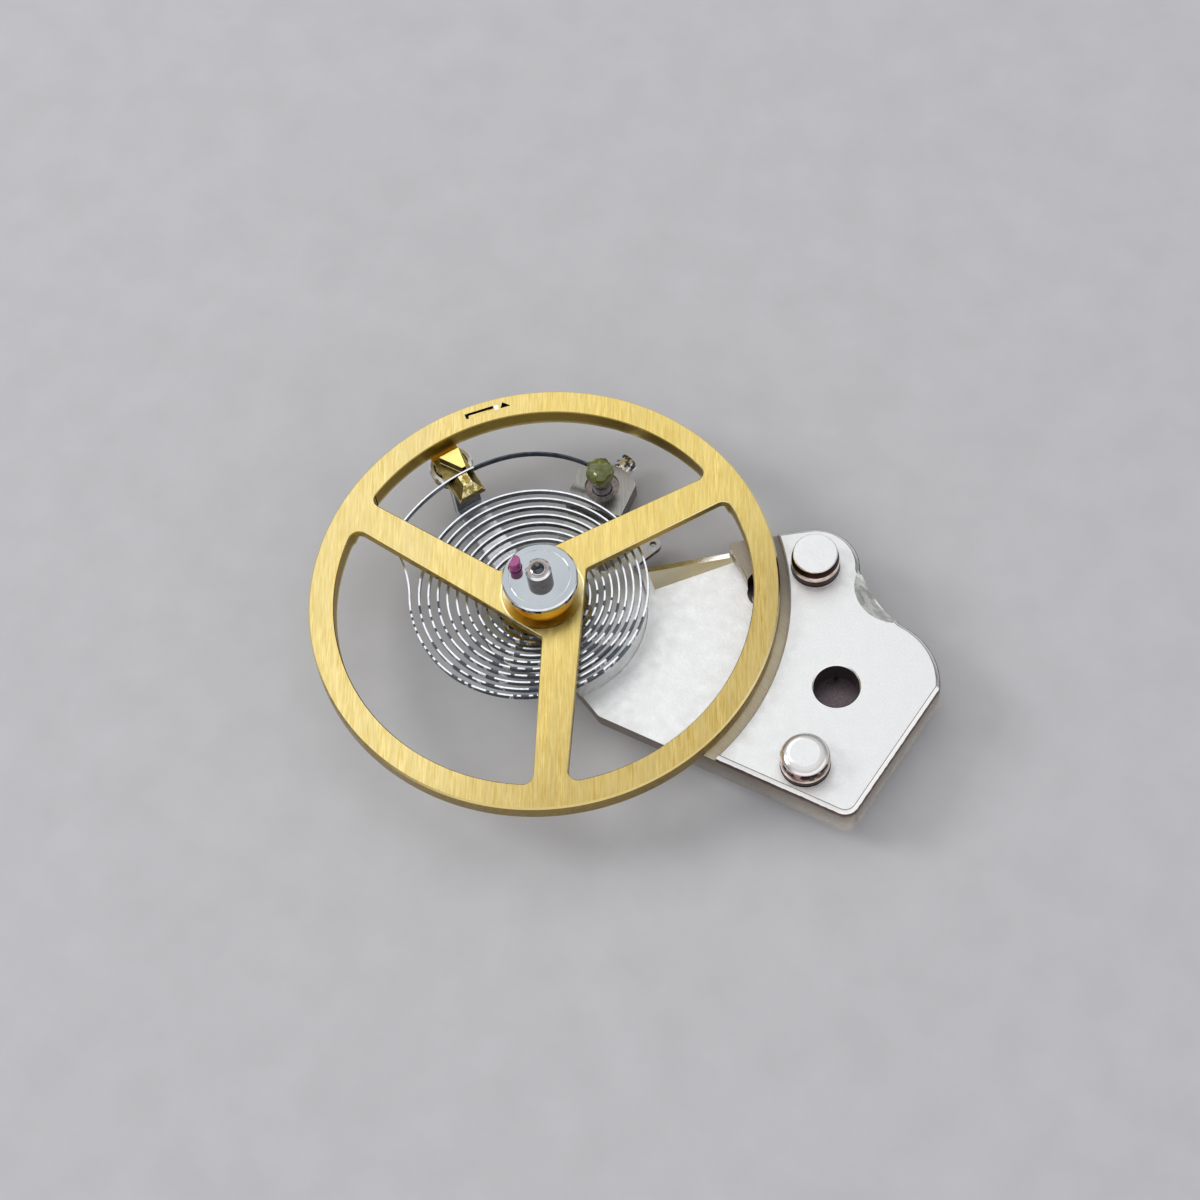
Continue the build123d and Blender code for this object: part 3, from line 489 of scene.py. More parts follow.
def gem(name, hue, haze):
    """A clear coloured solid, with veils and slight waves on its surface."""
    made, tree, shader, place = blank(name)
    veil = noise(tree, place, VEIL_MARKS, 4.0)
    deep = [channel * 0.45 for channel in hue]
    final = mixed(tree, span(tree, veil, 0.35, 0.7, 0, 1), hue, deep)
    tree.links.new(final, shader.inputs["Base Color"])
    tree.links.new(span(tree, veil, 0.3, 0.7, 0.06 + haze * 0.4, 0.14 + haze), shader.inputs["Roughness"])
    shader.inputs["Transmission Weight"].default_value = 0.35
    shader.inputs["IOR"].default_value = 1.5 if haze else 1.76
    shader.inputs["Coat Weight"].default_value = 1.0 if haze else 0.3
    bump = node(tree, "ShaderNodeBump", {"Strength": 0.4, "Distance": 0.00001, "Height": veil})
    tree.links.new(bump.outputs["Normal"], shader.inputs["Normal"])
    return made


# Mesh tools, all in millimetres about the balance axis


def solid(name, bm, *finishes):
    """An object from a bmesh, with its finishes in order."""
    mesh = bpy.data.meshes.new(name)
    bm.to_mesh(mesh)
    bm.free()
    made = bpy.data.objects.new(name, mesh)
    bpy.context.scene.collection.objects.link(made)
    for each in finishes:
        mesh.materials.append(finish(each))
    return made


def eased(profile, width):
    """Breaks the corners of a profile, and marks each broken edge as finish 1."""
    count, result, blunt = len(profile), [], math.radians(20)
    for index, corner in enumerate(profile):
        before, after = Vector(profile[index - 1]), Vector(profile[(index + 1) % count])
        here = Vector(corner)
        back, ahead = before - here, after - here
        if corner[0] == 0 or (math.pi - back.angle(ahead)) < blunt:
            result.append((*corner, 0))
            continue
        cut_back = min(width, back.length / 3)
        cut_ahead = min(width, ahead.length / 3)
        result.append((*(here + back.normalized() * cut_back), 1))
        result.append((*(here + ahead.normalized() * cut_ahead), 0))
    return result


def lathe(name, profile, finishes, centre=(0, 0), steps=128):
    """A turned solid from a closed profile of radius, height and finish index."""
    bm = bmesh.new()
    rings = []
    for radius, height, _ in profile:
        if radius < 1e-6:
            rings.append([bm.verts.new((*centre, height))])
        else:
            rings.append([bm.verts.new((*at(radius, 360 * k / steps, centre), height)) for k in range(steps)])
    for index, ring in enumerate(rings):
        other = rings[(index + 1) % len(rings)]
        if len(ring) == 1 and len(other) == 1:
            continue
        for k in range(steps):
            n = (k + 1) % steps
            loop = [ring[k % len(ring)], ring[n % len(ring)], other[n % len(other)], other[k % len(other)]]
            face = bm.faces.new(list(dict.fromkeys(loop)))
            face.material_index = profile[index][2]
    bmesh.ops.recalc_face_normals(bm, faces=bm.faces)
    return solid(name, bm, *finishes)


def grown(outline, distance):
    """A closed outline, drawn counterclockwise, with every side moved outwards."""
    count, result = len(outline), []
    for index in range(count):
        before, here, after = (Vector(outline[(index + step) % count]) for step in (-1, 0, 1))
        first, second = (here - before).normalized(), (after - here).normalized()
        normal = Vector((first.y, -first.x)) + Vector((second.y, -second.x))
        scale = distance * 2 / normal.length_squared
        result.append(tuple(here + normal * scale))
    return result


def loft(name, outline, levels, finishes):
    """A solid from a counterclockwise outline; each level has a height, a growth and a finish."""
    bm = bmesh.new()
    rings = [
        [bm.verts.new((*point, height)) for point in (grown(outline, growth) if growth else outline)]
        for height, growth, _ in levels
    ]
    for index, (lower, upper) in enumerate(zip(rings, rings[1:])):
        for k in range(len(lower)):
            n = (k + 1) % len(lower)
            face = bm.faces.new((lower[k], lower[n], upper[n], upper[k]))
            face.material_index = levels[index][2]
    bm.faces.new(rings[0][::-1])
    bm.faces.new(rings[-1])
    bmesh.ops.recalc_face_normals(bm, faces=bm.faces)
    return solid(name, bm, *finishes)


def hull(name, corners, kind, finishes):
    """A convex solid round its corners, all in one finish."""
    bm = bmesh.new()
    for corner in corners:
        bm.verts.new(corner)
    bmesh.ops.convex_hull(bm, input=bm.verts)
    bmesh.ops.recalc_face_normals(bm, faces=bm.faces)
    for face in bm.faces:
        face.material_index = kind
    return solid(name, bm, *finishes)


def plain(piece):
    """Turns a piece with its modifiers into a plain mesh."""
    bpy.context.view_layer.update()
    depsgraph = bpy.context.evaluated_depsgraph_get()
    mesh = bpy.data.meshes.new_from_object(piece.evaluated_get(depsgraph), depsgraph=depsgraph)
    piece.modifiers.clear()
    piece.data = mesh


def cut(piece, cutters):
    """Takes cutters away from a piece, with the cutters' finishes on the new faces."""
    for cutter in cutters:
        step = piece.modifiers.new("Cut", "BOOLEAN")
        step.operation = "DIFFERENCE"
        step.solver = "EXACT"
        step.material_mode = "TRANSFER"
        step.object = cutter
    plain(piece)
    for cutter in cutters:
        bpy.data.objects.remove(cutter)


def crisp(piece):
    """Shades a piece smooth, but for its corners and the edges of its level faces."""
    mesh, corner = piece.data, math.radians(30)
    if "custom_normal" in mesh.attributes:
        mesh.attributes.remove(mesh.attributes["custom_normal"])
    mesh.polygons.foreach_set("use_smooth", [True] * len(mesh.polygons))
    bm = bmesh.new()
    bm.from_mesh(mesh)
    for edge in bm.edges:
        levels = [abs(face.normal.z) > 0.9995 for face in edge.link_faces]
        turn = edge.calc_face_angle(0) if len(levels) == 2 else 0
        edge.smooth = not (turn > corner or (any(levels) and not all(levels)))
    bm.to_mesh(mesh)
    bm.free()


def hand_over(piece, body, slot, *nodes):
    """Puts a finished piece into the frame, on its body, in place of its nodes."""
    crisp(piece)
    piece.data.transform(INTO_FRAME)
    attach(piece, body)
    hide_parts(*nodes)


def eased_copy(node_name, width, *finishes):
    """A merged copy of a node's mesh, with bright broken edges as finish 1."""
    bm = bmesh.new()
    bm.from_mesh(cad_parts[node_name].data)
    bmesh.ops.transform(bm, matrix=INTO_FRAME.inverted(), verts=bm.verts)
    bmesh.ops.remove_doubles(bm, verts=bm.verts, dist=1e-4)
    bmesh.ops.dissolve_limit(bm, angle_limit=math.radians(1), verts=bm.verts, edges=bm.edges)
    for face in bm.faces:
        face.material_index = 0
    corners = [edge for edge in bm.edges if edge.calc_face_angle(0) > math.radians(35)]
    if width:
        bmesh.ops.bevel(
            bm,
            geom=corners,
            offset=width,
            segments=1,
            profile=0.5,
            affect="EDGES",
            material=1,
            clamp_overlap=True,
        )
    return solid(node_name + "_dressed", bm, *finishes)


# Geometry node trees


def tree_with(name, sockets):
    """A geometry node tree with its named inputs, and its end nodes."""
    tree = bpy.data.node_groups.new(name, "GeometryNodeTree")
    tree.interface.new_socket("Geometry", in_out="INPUT", socket_type="NodeSocketGeometry")
    for socket, kind in sockets:
        tree.interface.new_socket(socket, in_out="INPUT", socket_type="NodeSocket" + kind)
    tree.interface.new_socket("Geometry", in_out="OUTPUT", socket_type="NodeSocketGeometry")
    return tree, node(tree, "NodeGroupInput"), node(tree, "NodeGroupOutput")


def run_tree(piece, tree, values):
    """Runs a tree on a piece with its inputs set, and keeps the result as a plain mesh."""
    step = piece.modifiers.new("Nodes", "NODES")
    step.node_group = tree
    for item in tree.interface.items_tree:
        if item.name in values:
            step[item.identifier] = values[item.name]
    plain(piece)


def painted(tree, geometry, material, chosen=None):
    """Gives a material to all faces in a tree, or to the chosen ones."""
    inputs = {"Geometry": geometry, "Material": material}
    if chosen is not None:
        inputs["Selection"] = chosen
    return node(tree, "GeometryNodeSetMaterial", inputs).outputs[0]


def steeper(tree, limit):
    """Chooses the faces that stand steeper than a limit, where 1 is level and 0 upright."""
    facing = node(tree, "GeometryNodeInputNormal").outputs[0]
    rise = node(tree, "ShaderNodeSeparateXYZ", {0: facing}).outputs["Z"]
    level_share = maths(tree, "ABSOLUTE", rise)
    return node(
        tree, "FunctionNodeCompare", {0: level_share, 1: limit}, operation="LESS_THAN"
    ).outputs[0]


def window_tree():
    """Cuts windows, repeated round the axis, and gives tops, walls and bevels their finishes."""
    tree, given, result = tree_with(
        "Wheel windows",
        [
            ("Window", "Object"),
            ("Count", "Int"),
            ("First Angle", "Float"),
            ("Top Finish", "Material"),
            ("Wall Finish", "Material"),
            ("Bevel Finish", "Material"),
        ],
    )
    ask = given.outputs
    window = node(tree, "GeometryNodeObjectInfo", {"Object": ask["Window"]})
    spots = node(tree, "GeometryNodeMeshLine", {"Count": ask["Count"], "Offset": (0, 0, 0)})
    part = maths(tree, "DIVIDE", 2 * math.pi, ask["Count"])
    index = node(tree, "GeometryNodeInputIndex").outputs[0]
    turn = maths(tree, "MULTIPLY_ADD", index, part, ask["First Angle"])
    copies = node(
        tree,
        "GeometryNodeInstanceOnPoints",
        {
            "Points": spots.outputs["Mesh"],
            "Instance": window.outputs["Geometry"],
            "Rotation": node(tree, "ShaderNodeCombineXYZ", {"Z": turn}).outputs[0],
        },
    )
    windows = node(tree, "GeometryNodeRealizeInstances", {"Geometry": copies.outputs[0]}).outputs[0]
    opened = node(
        tree,
        "GeometryNodeMeshBoolean",
        {"Mesh 1": ask["Geometry"], "Mesh 2": windows},
        operation="DIFFERENCE",
    )
    whole = node(tree, "GeometryNodeRealizeInstances", {"Geometry": opened.outputs["Mesh"]})
    tops = painted(tree, whole.outputs[0], ask["Top Finish"])
    bevels = painted(tree, tops, ask["Bevel Finish"], steeper(tree, 0.97))
    # The wall finish carries painted shade.
    walls = painted(tree, bevels, ask["Wall Finish"], steeper(tree, 0.15))
    tree.links.new(walls, result.inputs[0])
    return tree


def ribbon_tree():
    """Sweeps a flat strip, standing on edge, along the path it is given."""
    tree, given, result = tree_with(
        "Strip on a path",
        [
            ("Strip Height", "Float"),
            ("Strip Thickness", "Float"),
            ("Edge Finish", "Material"),
            ("Side Finish", "Material"),
        ],
    )
    ask = given.outputs
    path = node(tree, "GeometryNodeMeshToCurve", {"Mesh": ask["Geometry"]}).outputs[0]
    along = node(tree, "GeometryNodeSplineParameter").outputs["Length"]
    marked = node(
        tree,
        "GeometryNodeStoreNamedAttribute",
        {"Geometry": path, "Name": "run", "Value": along},
        data_type="FLOAT",
        domain="POINT",
    )
    upright = node(tree, "GeometryNodeSetCurveNormal", {"Curve": marked.outputs[0]}, mode="Z_UP")
    section = node(
        tree,
        "GeometryNodeCurvePrimitiveQuadrilateral",
        {"Width": ask["Strip Thickness"], "Height": ask["Strip Height"]},
    )
    strip = node(
        tree,
        "GeometryNodeCurveToMesh",
        {"Curve": upright.outputs[0], "Profile Curve": section.outputs[0], "Fill Caps": True},
    )
    real = node(tree, "GeometryNodeRealizeInstances", {"Geometry": strip.outputs[0]})
    edges = painted(tree, real.outputs[0], ask["Edge Finish"])
    # Sides take the side finish, a darker copy of the alloy: painted shade.
    sides = painted(tree, edges, ask["Side Finish"], steeper(tree, 0.5))
    tree.links.new(sides, result.inputs[0])
    return tree


# Outlines


def rounded(runs, radii):
    """A closed outline of runs of points whose joints are rounded, each with its own radius."""
    keep, arcs, least = [[0, len(run) - 1] for run in runs], [], 0.004
    for index, radius in enumerate(radii):
        one, two = runs[index - 1], runs[index]
        arcs.append([])
        if not radius:
            continue
        lead = Vector(one[-1]) - Vector(one[-2])
        next_lead = Vector(two[1]) - Vector(two[0])
        side = 1 if lead.cross(next_lead) > 0 else -1
        first = shifted(one, radius * side)
        second = shifted(two, radius * side)
        i, s, k, t = crossing(first, second)
        start = Vector(one[i]).lerp(Vector(one[i + 1]), s)
        end = Vector(two[k]).lerp(Vector(two[k + 1]), t)
        centre = Vector(first[i]).lerp(Vector(first[i + 1]), s)
        keep[index - 1][1] = i
        keep[index][0] = k + 1
        from_angle = bearing(start - centre)
        swing = math.degrees((start - centre).angle_signed(end - centre))
        arcs[index] = sweep(tuple(centre), radius, from_angle, from_angle - swing, 10)
    outline = []
    for index, run in enumerate(runs):
        outline += arcs[index] + run[keep[index][0] : keep[index][1] + 1]
    tidy = [outline[0]]
    for point in outline[1:]:
        if (Vector(point) - Vector(tidy[-1])).length > least:
            tidy.append(point)
    if (Vector(tidy[0]) - Vector(tidy[-1])).length < least:
        tidy.pop()
    area = sum(a[0] * b[1] - b[0] * a[1] for a, b in zip(tidy, tidy[1:] + tidy[:1]))
    return tidy if area > 0 else tidy[::-1]


def shifted(run, distance):
    """A run of points moved sideways, to the left for a positive distance."""
    result = []
    for index, point in enumerate(run):
        before = Vector(run[max(index - 1, 0)])
        after = Vector(run[min(index + 1, len(run) - 1)])
        lead = (after - before).normalized()
        result.append((point[0] - lead.y * distance, point[1] + lead.x * distance))
    return result


def crossing(first, second):
    """Where two runs cross: the index and the share along it, for both."""
    best = None
    for i in range(len(first) - 1):
        a, b = Vector(first[i]), Vector(first[i + 1])
        for k in range(len(second) - 1):
            c, d = Vector(second[k]), Vector(second[k + 1])
            spread = (b - a).cross(d - c)
            if abs(spread) < 1e-12:
                continue
            s = (c - a).cross(d - c) / spread
            t = (c - a).cross(b - a) / spread
            if -1e-6 <= s <= 1 + 1e-6 and -1e-6 <= t <= 1 + 1e-6:
                best = (i, s, k, t)
    if best is None:
        raise RuntimeError("two runs of an outline don't meet")
    return best


# Operators


# The two edges of a spoke that lies along X, and how high each meets the rim
SPOKE_LEAD, LEAD_HEIGHT = ((-0.631, 0.8415), (4.44, 0.765)), 0.769
SPOKE_LAG, LAG_HEIGHT = ((4.44, 0.115), (0, 0.04)), 0.1106


def window_outline(inner, fillet, part):
    """One window, from the leading edge of a spoke round to the lagging edge of the next."""
    steps, half = 120, 60
    lead = straight(*SPOKE_LEAD, steps)
    lag = [at(math.hypot(*p), bearing(p) + part) for p in straight(*SPOKE_LAG, steps)]
    i, s, k, _ = crossing(lead[:half], lag[half:])
    valley = tuple(Vector(lead[i]).lerp(Vector(lead[i + 1]), s))
    lead = [valley] + [point for point in lead[i + 1 :] if math.hypot(*point) < inner]
    lag = [point for point in lag[: half + k + 1] if math.hypot(*point) < inner] + [valley]
    lead.append(at(inner, math.degrees(math.asin(LEAD_HEIGHT / inner))))
    lag.insert(0, at(inner, part + math.degrees(math.asin(LAG_HEIGHT / inner))))
    rim = sweep((0, 0), inner, bearing(lead[-1]), bearing(lag[0]), 96)
    return rounded([lead, rim, lag], [0.06, fillet, fillet])


def poising_cutters():
    """The cut on the rim: a shallow slot, a groove at its edge, a nick, and a bright patch that is a painted
    highlight.
    """
    rows = [
        (
            "slot", 0.372, "gilt_brushed", "hole_shade",
            [(4.50, 124.2), (4.50, 131.6), (4.385, 131.6), (4.385, 124.2)],
        ),
        (
            "groove", 0.29, "hole_shade", "hole_shade",
            [
                (4.525, 124.2), (4.525, 132.0), (4.40, 132.0),
                (4.40, 131.4), (4.48, 131.0), (4.475, 124.2),
            ],
        ),
        ("nick", 0.28, "hole_shade", "hole_shade", [(4.56, 121.6), (4.42, 122.4), (4.44, 119.6)]),
        # A shallow cut in the bright nickel bevel finish on the gilt: a painted highlight.
        (
            "patch", 0.385, "nickel_bevel", "nickel_bevel",
            [(4.53, 122.9), (4.54, 123.9), (4.41, 123.9), (4.42, 122.9)],
        ),
    ]
    above = 0.5
    return [
        loft(name, [at(*corner) for corner in corners], [(low, 0, 1), (above, 0, 1)], [floor, wall])
        for name, low, floor, wall, corners in rows
    ]


class BALANCE_OT_wheel(bpy.types.Operator):
    """Builds the balance wheel"""

    bl_idname = "balance.wheel"
    bl_label = "Balance wheel"

    def execute(self, context):
        sizes = context.scene.balance_sizes
        outer = sizes.wheel_radius / MILLIMETRE
        inner = outer - sizes.rim_width / MILLIMETRE
        top = sizes.rim_height / MILLIMETRE
        web = top - sizes.spoke_height / MILLIMETRE
        bevel = sizes.rim_bevel / MILLIMETRE
        flare = sizes.edge_gleam / MILLIMETRE * 1.5
        bore, boss, well, land, hub = 0.30, 0.50, 0.62, 0.81, 0.845
        sunk, crown = top - 0.03, top + 0.20
        profile = [
            (bore, web),
            (inner - bevel, web),
            (inner - bevel, 0),
            (outer - bevel, 0),
            (outer, bevel),
            (outer, top - bevel),
            (outer - bevel, top),
            (hub, top),
            (land, top),
            (land, sunk),
            (well, sunk),
            (well, top),
            (boss, crown),
            (bore, crown),
        ]
        wheel = lathe("wheel_gilt", [(*point, 0) for point in profile], [], steps=256)
        fillet = sizes.window_fillet / MILLIMETRE
        window = loft(
            "window",
            window_outline(inner, fillet, 360 / sizes.spoke_count),
            [(-0.1, 0, 0), (top - flare, 0, 0), (top + 0.02, flare + 0.02, 0)],
            [],
        )
        run_tree(
            wheel,
            window_tree(),
            {
                "Window": window,
                "Count": sizes.spoke_count,
                "First Angle": sizes.spoke_angle,
                "Top Finish": finish("gilt_brushed"),
                "Wall Finish": finish("gilt_wall"),
                "Bevel Finish": finish("gilt_line"),
            },
        )
        bpy.data.objects.remove(window)
        cut(wheel, poising_cutters())
        for name in ("gilt_side", "hub_gilt", "gilt_edge"):
            wheel.data.materials.append(finish(name))
        edge = len(wheel.data.materials) - 1
        hub_finish, side = edge - 1, edge - 2
        # Rim's outer wall: the darker gilt of painted shade; outer bevel and the land round the hub: bright
        # edge gilt, with painted shade on one side; hub: gilt with painted amber shade.
        for face in wheel.data.polygons:
            reach, leaning = math.hypot(*face.center.xy), 0.15 < abs(face.normal.z) < 0.97
            if reach > outer - bevel / 2:
                face.material_index = side
            elif leaning and reach > outer - bevel * 1.5:
                face.material_index = edge
            elif land < reach < hub - 0.005 and face.normal.z > 0.97:
                face.material_index = edge
            elif reach < land and face.center.z > web + 0.01:
                face.material_index = hub_finish
        hand_over(wheel, "balance", "gilt_brass", "balance_wheel")
        return {"FINISHED"}


# The side where the coil swells, the arc of its last half turn, and the ends of the outer curve
SWELL_ANGLE = 158.0
LAST_ARC = 135
CURVE_START, CURVE_END = 166, 127


def tangent_arc(start, heading, end, steps):
    """Points of the arc that leaves a start along a heading and reaches an end."""
    gap = end - start
    normal = Vector((-heading.y, heading.x))
    radius = gap.length_squared / (2 * gap.dot(normal))
    centre = start + normal * radius
    from_angle = bearing(start - centre)
    swing = 2 * math.degrees(math.atan2(heading.cross(gap), heading.dot(gap)))
    return sweep(tuple(centre), abs(radius), from_angle, from_angle + swing, steps)


def end_heading(start, heading, end):
    """The heading at the end of that arc."""
    gap = (end - start).normalized()
    return gap * (2 * gap.dot(heading)) - heading


def coil_path(sizes):
    """The coil, in half turns that grow by a wide step where it swells and by a narrow one across."""
    start = sizes.spring_start / MILLIMETRE
    wide_step = sizes.wide_pitch / MILLIMETRE
    narrow_step = sizes.narrow_pitch / MILLIMETRE
    across = SWELL_ANGLE - 180
    points = []
    for turn in range(sizes.spring_turns):
        wide = start + turn * wide_step
        wider = wide + wide_step
        narrow = start + (turn + 0.5) * narrow_step
        last = turn == sizes.spring_turns - 1
        end = across - (LAST_ARC if last else 180)
        inward = at((wide - narrow) / 2, SWELL_ANGLE)
        outward = at((wider - narrow) / 2, SWELL_ANGLE)
        points += sweep(inward, (wide + narrow) / 2, SWELL_ANGLE, across, 72)[:-1]
        points += sweep(outward, (wider + narrow) / 2, across, end, 72)
        if not last:
            points.pop()
    return points


def outer_path(start, sizes):
    """The knee out of the coil, the curve through the regulator, and the bend into the stud."""
    radius = sizes.outer_curve / MILLIMETRE
    heading = Vector(at(1, SWELL_ANGLE - 180 - LAST_ARC - 90))
    end, end_way = Vector(at(radius, CURVE_START)), Vector(at(1, CURVE_START - 90))
    gap = end - start
    spread = 2 * (1 - heading.dot(end_way))
    along = gap.dot(heading + end_way)
    reach = (math.sqrt(along**2 + spread * gap.dot(gap)) - along) / spread
    knee = (start + end + (heading - end_way) * reach) * 0.5
    first = tangent_arc(start, heading, knee, 16)
    second = tangent_arc(knee, end_heading(start, heading, knee), end, 16)
    curve = sweep((0, 0), radius, CURVE_START, CURVE_END, 40)
    leave, way = Vector(curve[-1]), Vector(at(1, CURVE_END - 90))
    stud = Vector((0, sizes.stud_circle / MILLIMETRE))
    bend = tangent_arc(leave, way, stud, 30)
    through_stud = stud + end_heading(leave, way, stud) * 0.2
    return first[1:] + second[1:] + curve[1:] + bend[1:] + [tuple(through_stud)]


def paint_glints(spring):
    """Paints light and shade on the strip: bright beads and dark gaps on the near side, and shade on its run
    to the stud.

    Two waves, each along a turn and from turn to turn, add up to the beads.
    """
    spring.data.materials.append(finish("spring_ticks"))
    spring.data.materials.append(finish("spring_dark"))
    painted_dark = len(spring.data.materials) - 1
    ticks = painted_dark - 1
    near = Vector(at(1, BRUSH_ANGLE + 180))
    for face in spring.data.polygons:
        spot = face.center.xy
        way, lap = bearing(spot), spot.length / 0.17
        glint = math.sin(way * 1.9 + lap * 1.1) + 0.8 * math.sin(way * 0.31 - lap * 0.7)
        # The outer run to the stud is painted dark: painted shade.
        if spot.length > 2.8 and spot.x > -2.5 and spot.y > 0:
            face.material_index = painted_dark
        elif spot.dot(near) < 0.25 * math.sin(spot.length * 40):
            continue
        # Near side: sides dark with bright ticks, tops bright with dark gaps: painted glints and shade.
        elif abs(face.normal.z) < 0.5:
            face.material_index = ticks if glint > 0.7 else painted_dark
        elif glint < -0.35:
            face.material_index = painted_dark


class BALANCE_OT_hairspring(bpy.types.Operator):
    """Builds the hairspring, which winds between its stud and the balance"""

    bl_idname = "balance.hairspring"
    bl_label = "Hairspring"

    def execute(self, context):
        sizes = context.scene.balance_sizes
        points = coil_path(sizes)
        points += outer_path(Vector(points[-1]), sizes)
        bm = bmesh.new()
        spots = [bm.verts.new((*point, 0)) for point in points]
        for one, two in zip(spots, spots[1:]):
            bm.edges.new((one, two))
        spring = solid("hairspring_strip", bm)
        run_tree(
            spring,
            ribbon_tree(),
            {
                "Strip Height": sizes.strip_height / MILLIMETRE,
                "Strip Thickness": sizes.strip_thickness / MILLIMETRE,
                "Edge Finish": finish("spring_edge"),
                "Side Finish": finish("spring_side"),
            },
        )
        paint_glints(spring)
        crisp(spring)
        spring.data.transform(INTO_FRAME)
        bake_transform(spring)
        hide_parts("hairspring")
        return {"FINISHED"}


class BALANCE_OT_staff(bpy.types.Operator):
    """Turns the staff and dresses the collet"""

    bl_idname = "balance.staff"
    bl_label = "Staff and collet"

    def execute(self, context):
        gleam = context.scene.balance_sizes.edge_gleam / MILLIMETRE
        profile = [
            (0, 1.52),
            (0.05, 1.52),
            (0.05, 1.40),
            (0.14, 1.33),
            (0.16, 1.33),
            (0.16, 1.00),
            (0.22, 1.00),
            (0.22, 0.84),
            (0.37, 0.84),
            (0.37, 0.60),
            (0.30, 0.60),
            (0.30, 0.22),
            (0.25, 0.22),
            (0.25, -0.10),
            (0.14, -0.18),
            (0.14, -0.66),
            (0.05, -0.74),
            (0.05, -0.908),
            (0, -0.908),
        ]
        finishes = ["steel_warm", "steel_bevel", "steel_deep"]
        staff = lathe("staff_turned", eased(profile, gleam), finishes, steps=64)
        cone_foot, deep = 1.335, 2
        for face in staff.data.polygons:
            if face.center.z > cone_foot:
                face.material_index = deep
        hand_over(staff, "balance", "polished_steel", "balance_staff")
        collet = eased_copy("hairspring_collet", gleam, "steel_polished", "steel_bevel")
        hand_over(collet, "balance", "collet_metal", "hairspring_collet")
        return {"FINISHED"}


class BALANCE_OT_rollers(bpy.types.Operator):
    """Builds the roller table, the safety roller and the impulse jewel"""

    bl_idname = "balance.rollers"
    bl_label = "Rollers and impulse jewel"

    def execute(self, context):
        gleam = context.scene.balance_sizes.edge_gleam / MILLIMETRE
        finishes = ["steel_mirror", "steel_bevel"]
        table = [(0.22, 0.84), (0.725, 0.84), (0.755, 0.87), (0.755, 0.97), (0.725, 1.00)]
        table += [(0.61, 1.00), (0.60, 0.992), (0.59, 1.00), (0.22, 1.00)]
        kinds = [0, 1, 0, 1, 0, 1, 1, 0, 0]
        roller = lathe("roller_table_turned", [(*p, k) for p, k in zip(table, kinds)], finishes)
        jewel_angle = 174.7
        spot = at(0.54, jewel_angle)
        hole = [(0, 0.7), (0.13, 0.7), (0.13, 0.985), (0.16, 1.015), (0.16, 1.1), (0, 1.1)]
        cut(roller, [lathe("hole", [(*p, 0) for p in hole], finishes, spot, 32)])
        hand_over(roller, "balance", "roller_steel", "roller_table")
        safety = [(0.16, 1.00), (0.255, 1.00), (0.255, 1.29), (0.215, 1.33), (0.16, 1.33)]
        kinds = [0, 0, 1, 0, 0]
        finishes = ["steel_warm", "steel_bevel"]
        guard = lathe("safety_roller_turned", [(*p, k) for p, k in zip(safety, kinds)], finishes, steps=96)
        hollow = [(0, 0.9), (0.12, 0.9), (0.12, 1.5), (0, 1.5)]
        cut(guard, [lathe("hollow", [(*p, 0) for p in hollow], finishes, at(0.315, jewel_angle), 48)])
        hand_over(guard, "balance", "roller_steel", "safety_roller")
        radius, flat, low, high = 0.13, 0.078, 0.71, 1.28
        bite = math.degrees(math.acos((radius - flat) / radius))
        outline = sweep(spot, radius, jewel_angle + bite, jewel_angle + 360 - bite, 40)
        levels = [(low, -gleam, 0), (low + gleam, 0, 0), (high - gleam, 0, 0), (high, -gleam, 0)]
        jewel = loft("impulse_jewel_ruby", outline, levels, ["ruby"])
        hand_over(jewel, "balance", "ruby", "impulse_jewel")
        return {"FINISHED"}


COCK_FINISHES = [
    "nickel_frosted",
    "nickel_bevel",
    "nickel_wall",
    "hole_shade",
    "ledge_gilt",
    "facet_bronze",
    "notch_chatter",
    "edge_line",
    "foot_bevel",
]
FROSTED, BEVEL, WALL, SHADE, LEDGE, FACET, CHATTER, LINE, FOOT_BEVEL = range(len(COCK_FINISHES))


def through(start, middle, end, steps):
    """Points of the arc through three points."""
    a, b, c = Vector(start), Vector(middle), Vector(end)
    d = 2 * (a.x * (b.y - c.y) + b.x * (c.y - a.y) + c.x * (a.y - b.y))
    aa, bb, cc = a.length_squared, b.length_squared, c.length_squared
    centre = Vector(
        (
            (aa * (b.y - c.y) + bb * (c.y - a.y) + cc * (a.y - b.y)) / d,
            (aa * (c.x - b.x) + bb * (a.x - c.x) + cc * (b.x - a.x)) / d,
        )
    )
    from_angle = bearing(a - centre)
    swing = -math.degrees((a - centre).angle_signed(c - centre))
    return sweep(tuple(centre), (a - centre).length, from_angle, from_angle + swing, steps)


def cock_outline():
    """The cock from above: the lobe of the far pin, the notch, the foot, the arm and the head."""
    lobe, head = 0.88, 1.35
    head_start, head_end = at(head, 63.5), at(head, -57.7)
    notch_end, shoulder, shoulder_end = (6.849, 1.700), (7.617, 1.300), (8.010, 0.589)
    heel, waist = (7.217, -2.555), (1.802, -1.851)
    runs = [
        straight(head_start, at(lobe, 113, FAR_PIN), 60),
        sweep(FAR_PIN, lobe, 113, 11.7, 40),
        straight(at(lobe, 11.7, FAR_PIN), notch_end, 30),
        through(notch_end, shoulder, shoulder_end, 40),
        straight(shoulder_end, heel, 60),
        straight(heel, waist, 60),
        straight(waist, head_end, 40),
        sweep((0, 0), head, -57.7, -296.5, 120),
    ]
    return rounded(runs, [0.40, 0.30, 0.15, 0.30, 0.16, 0.30, 0.15, 0.40])


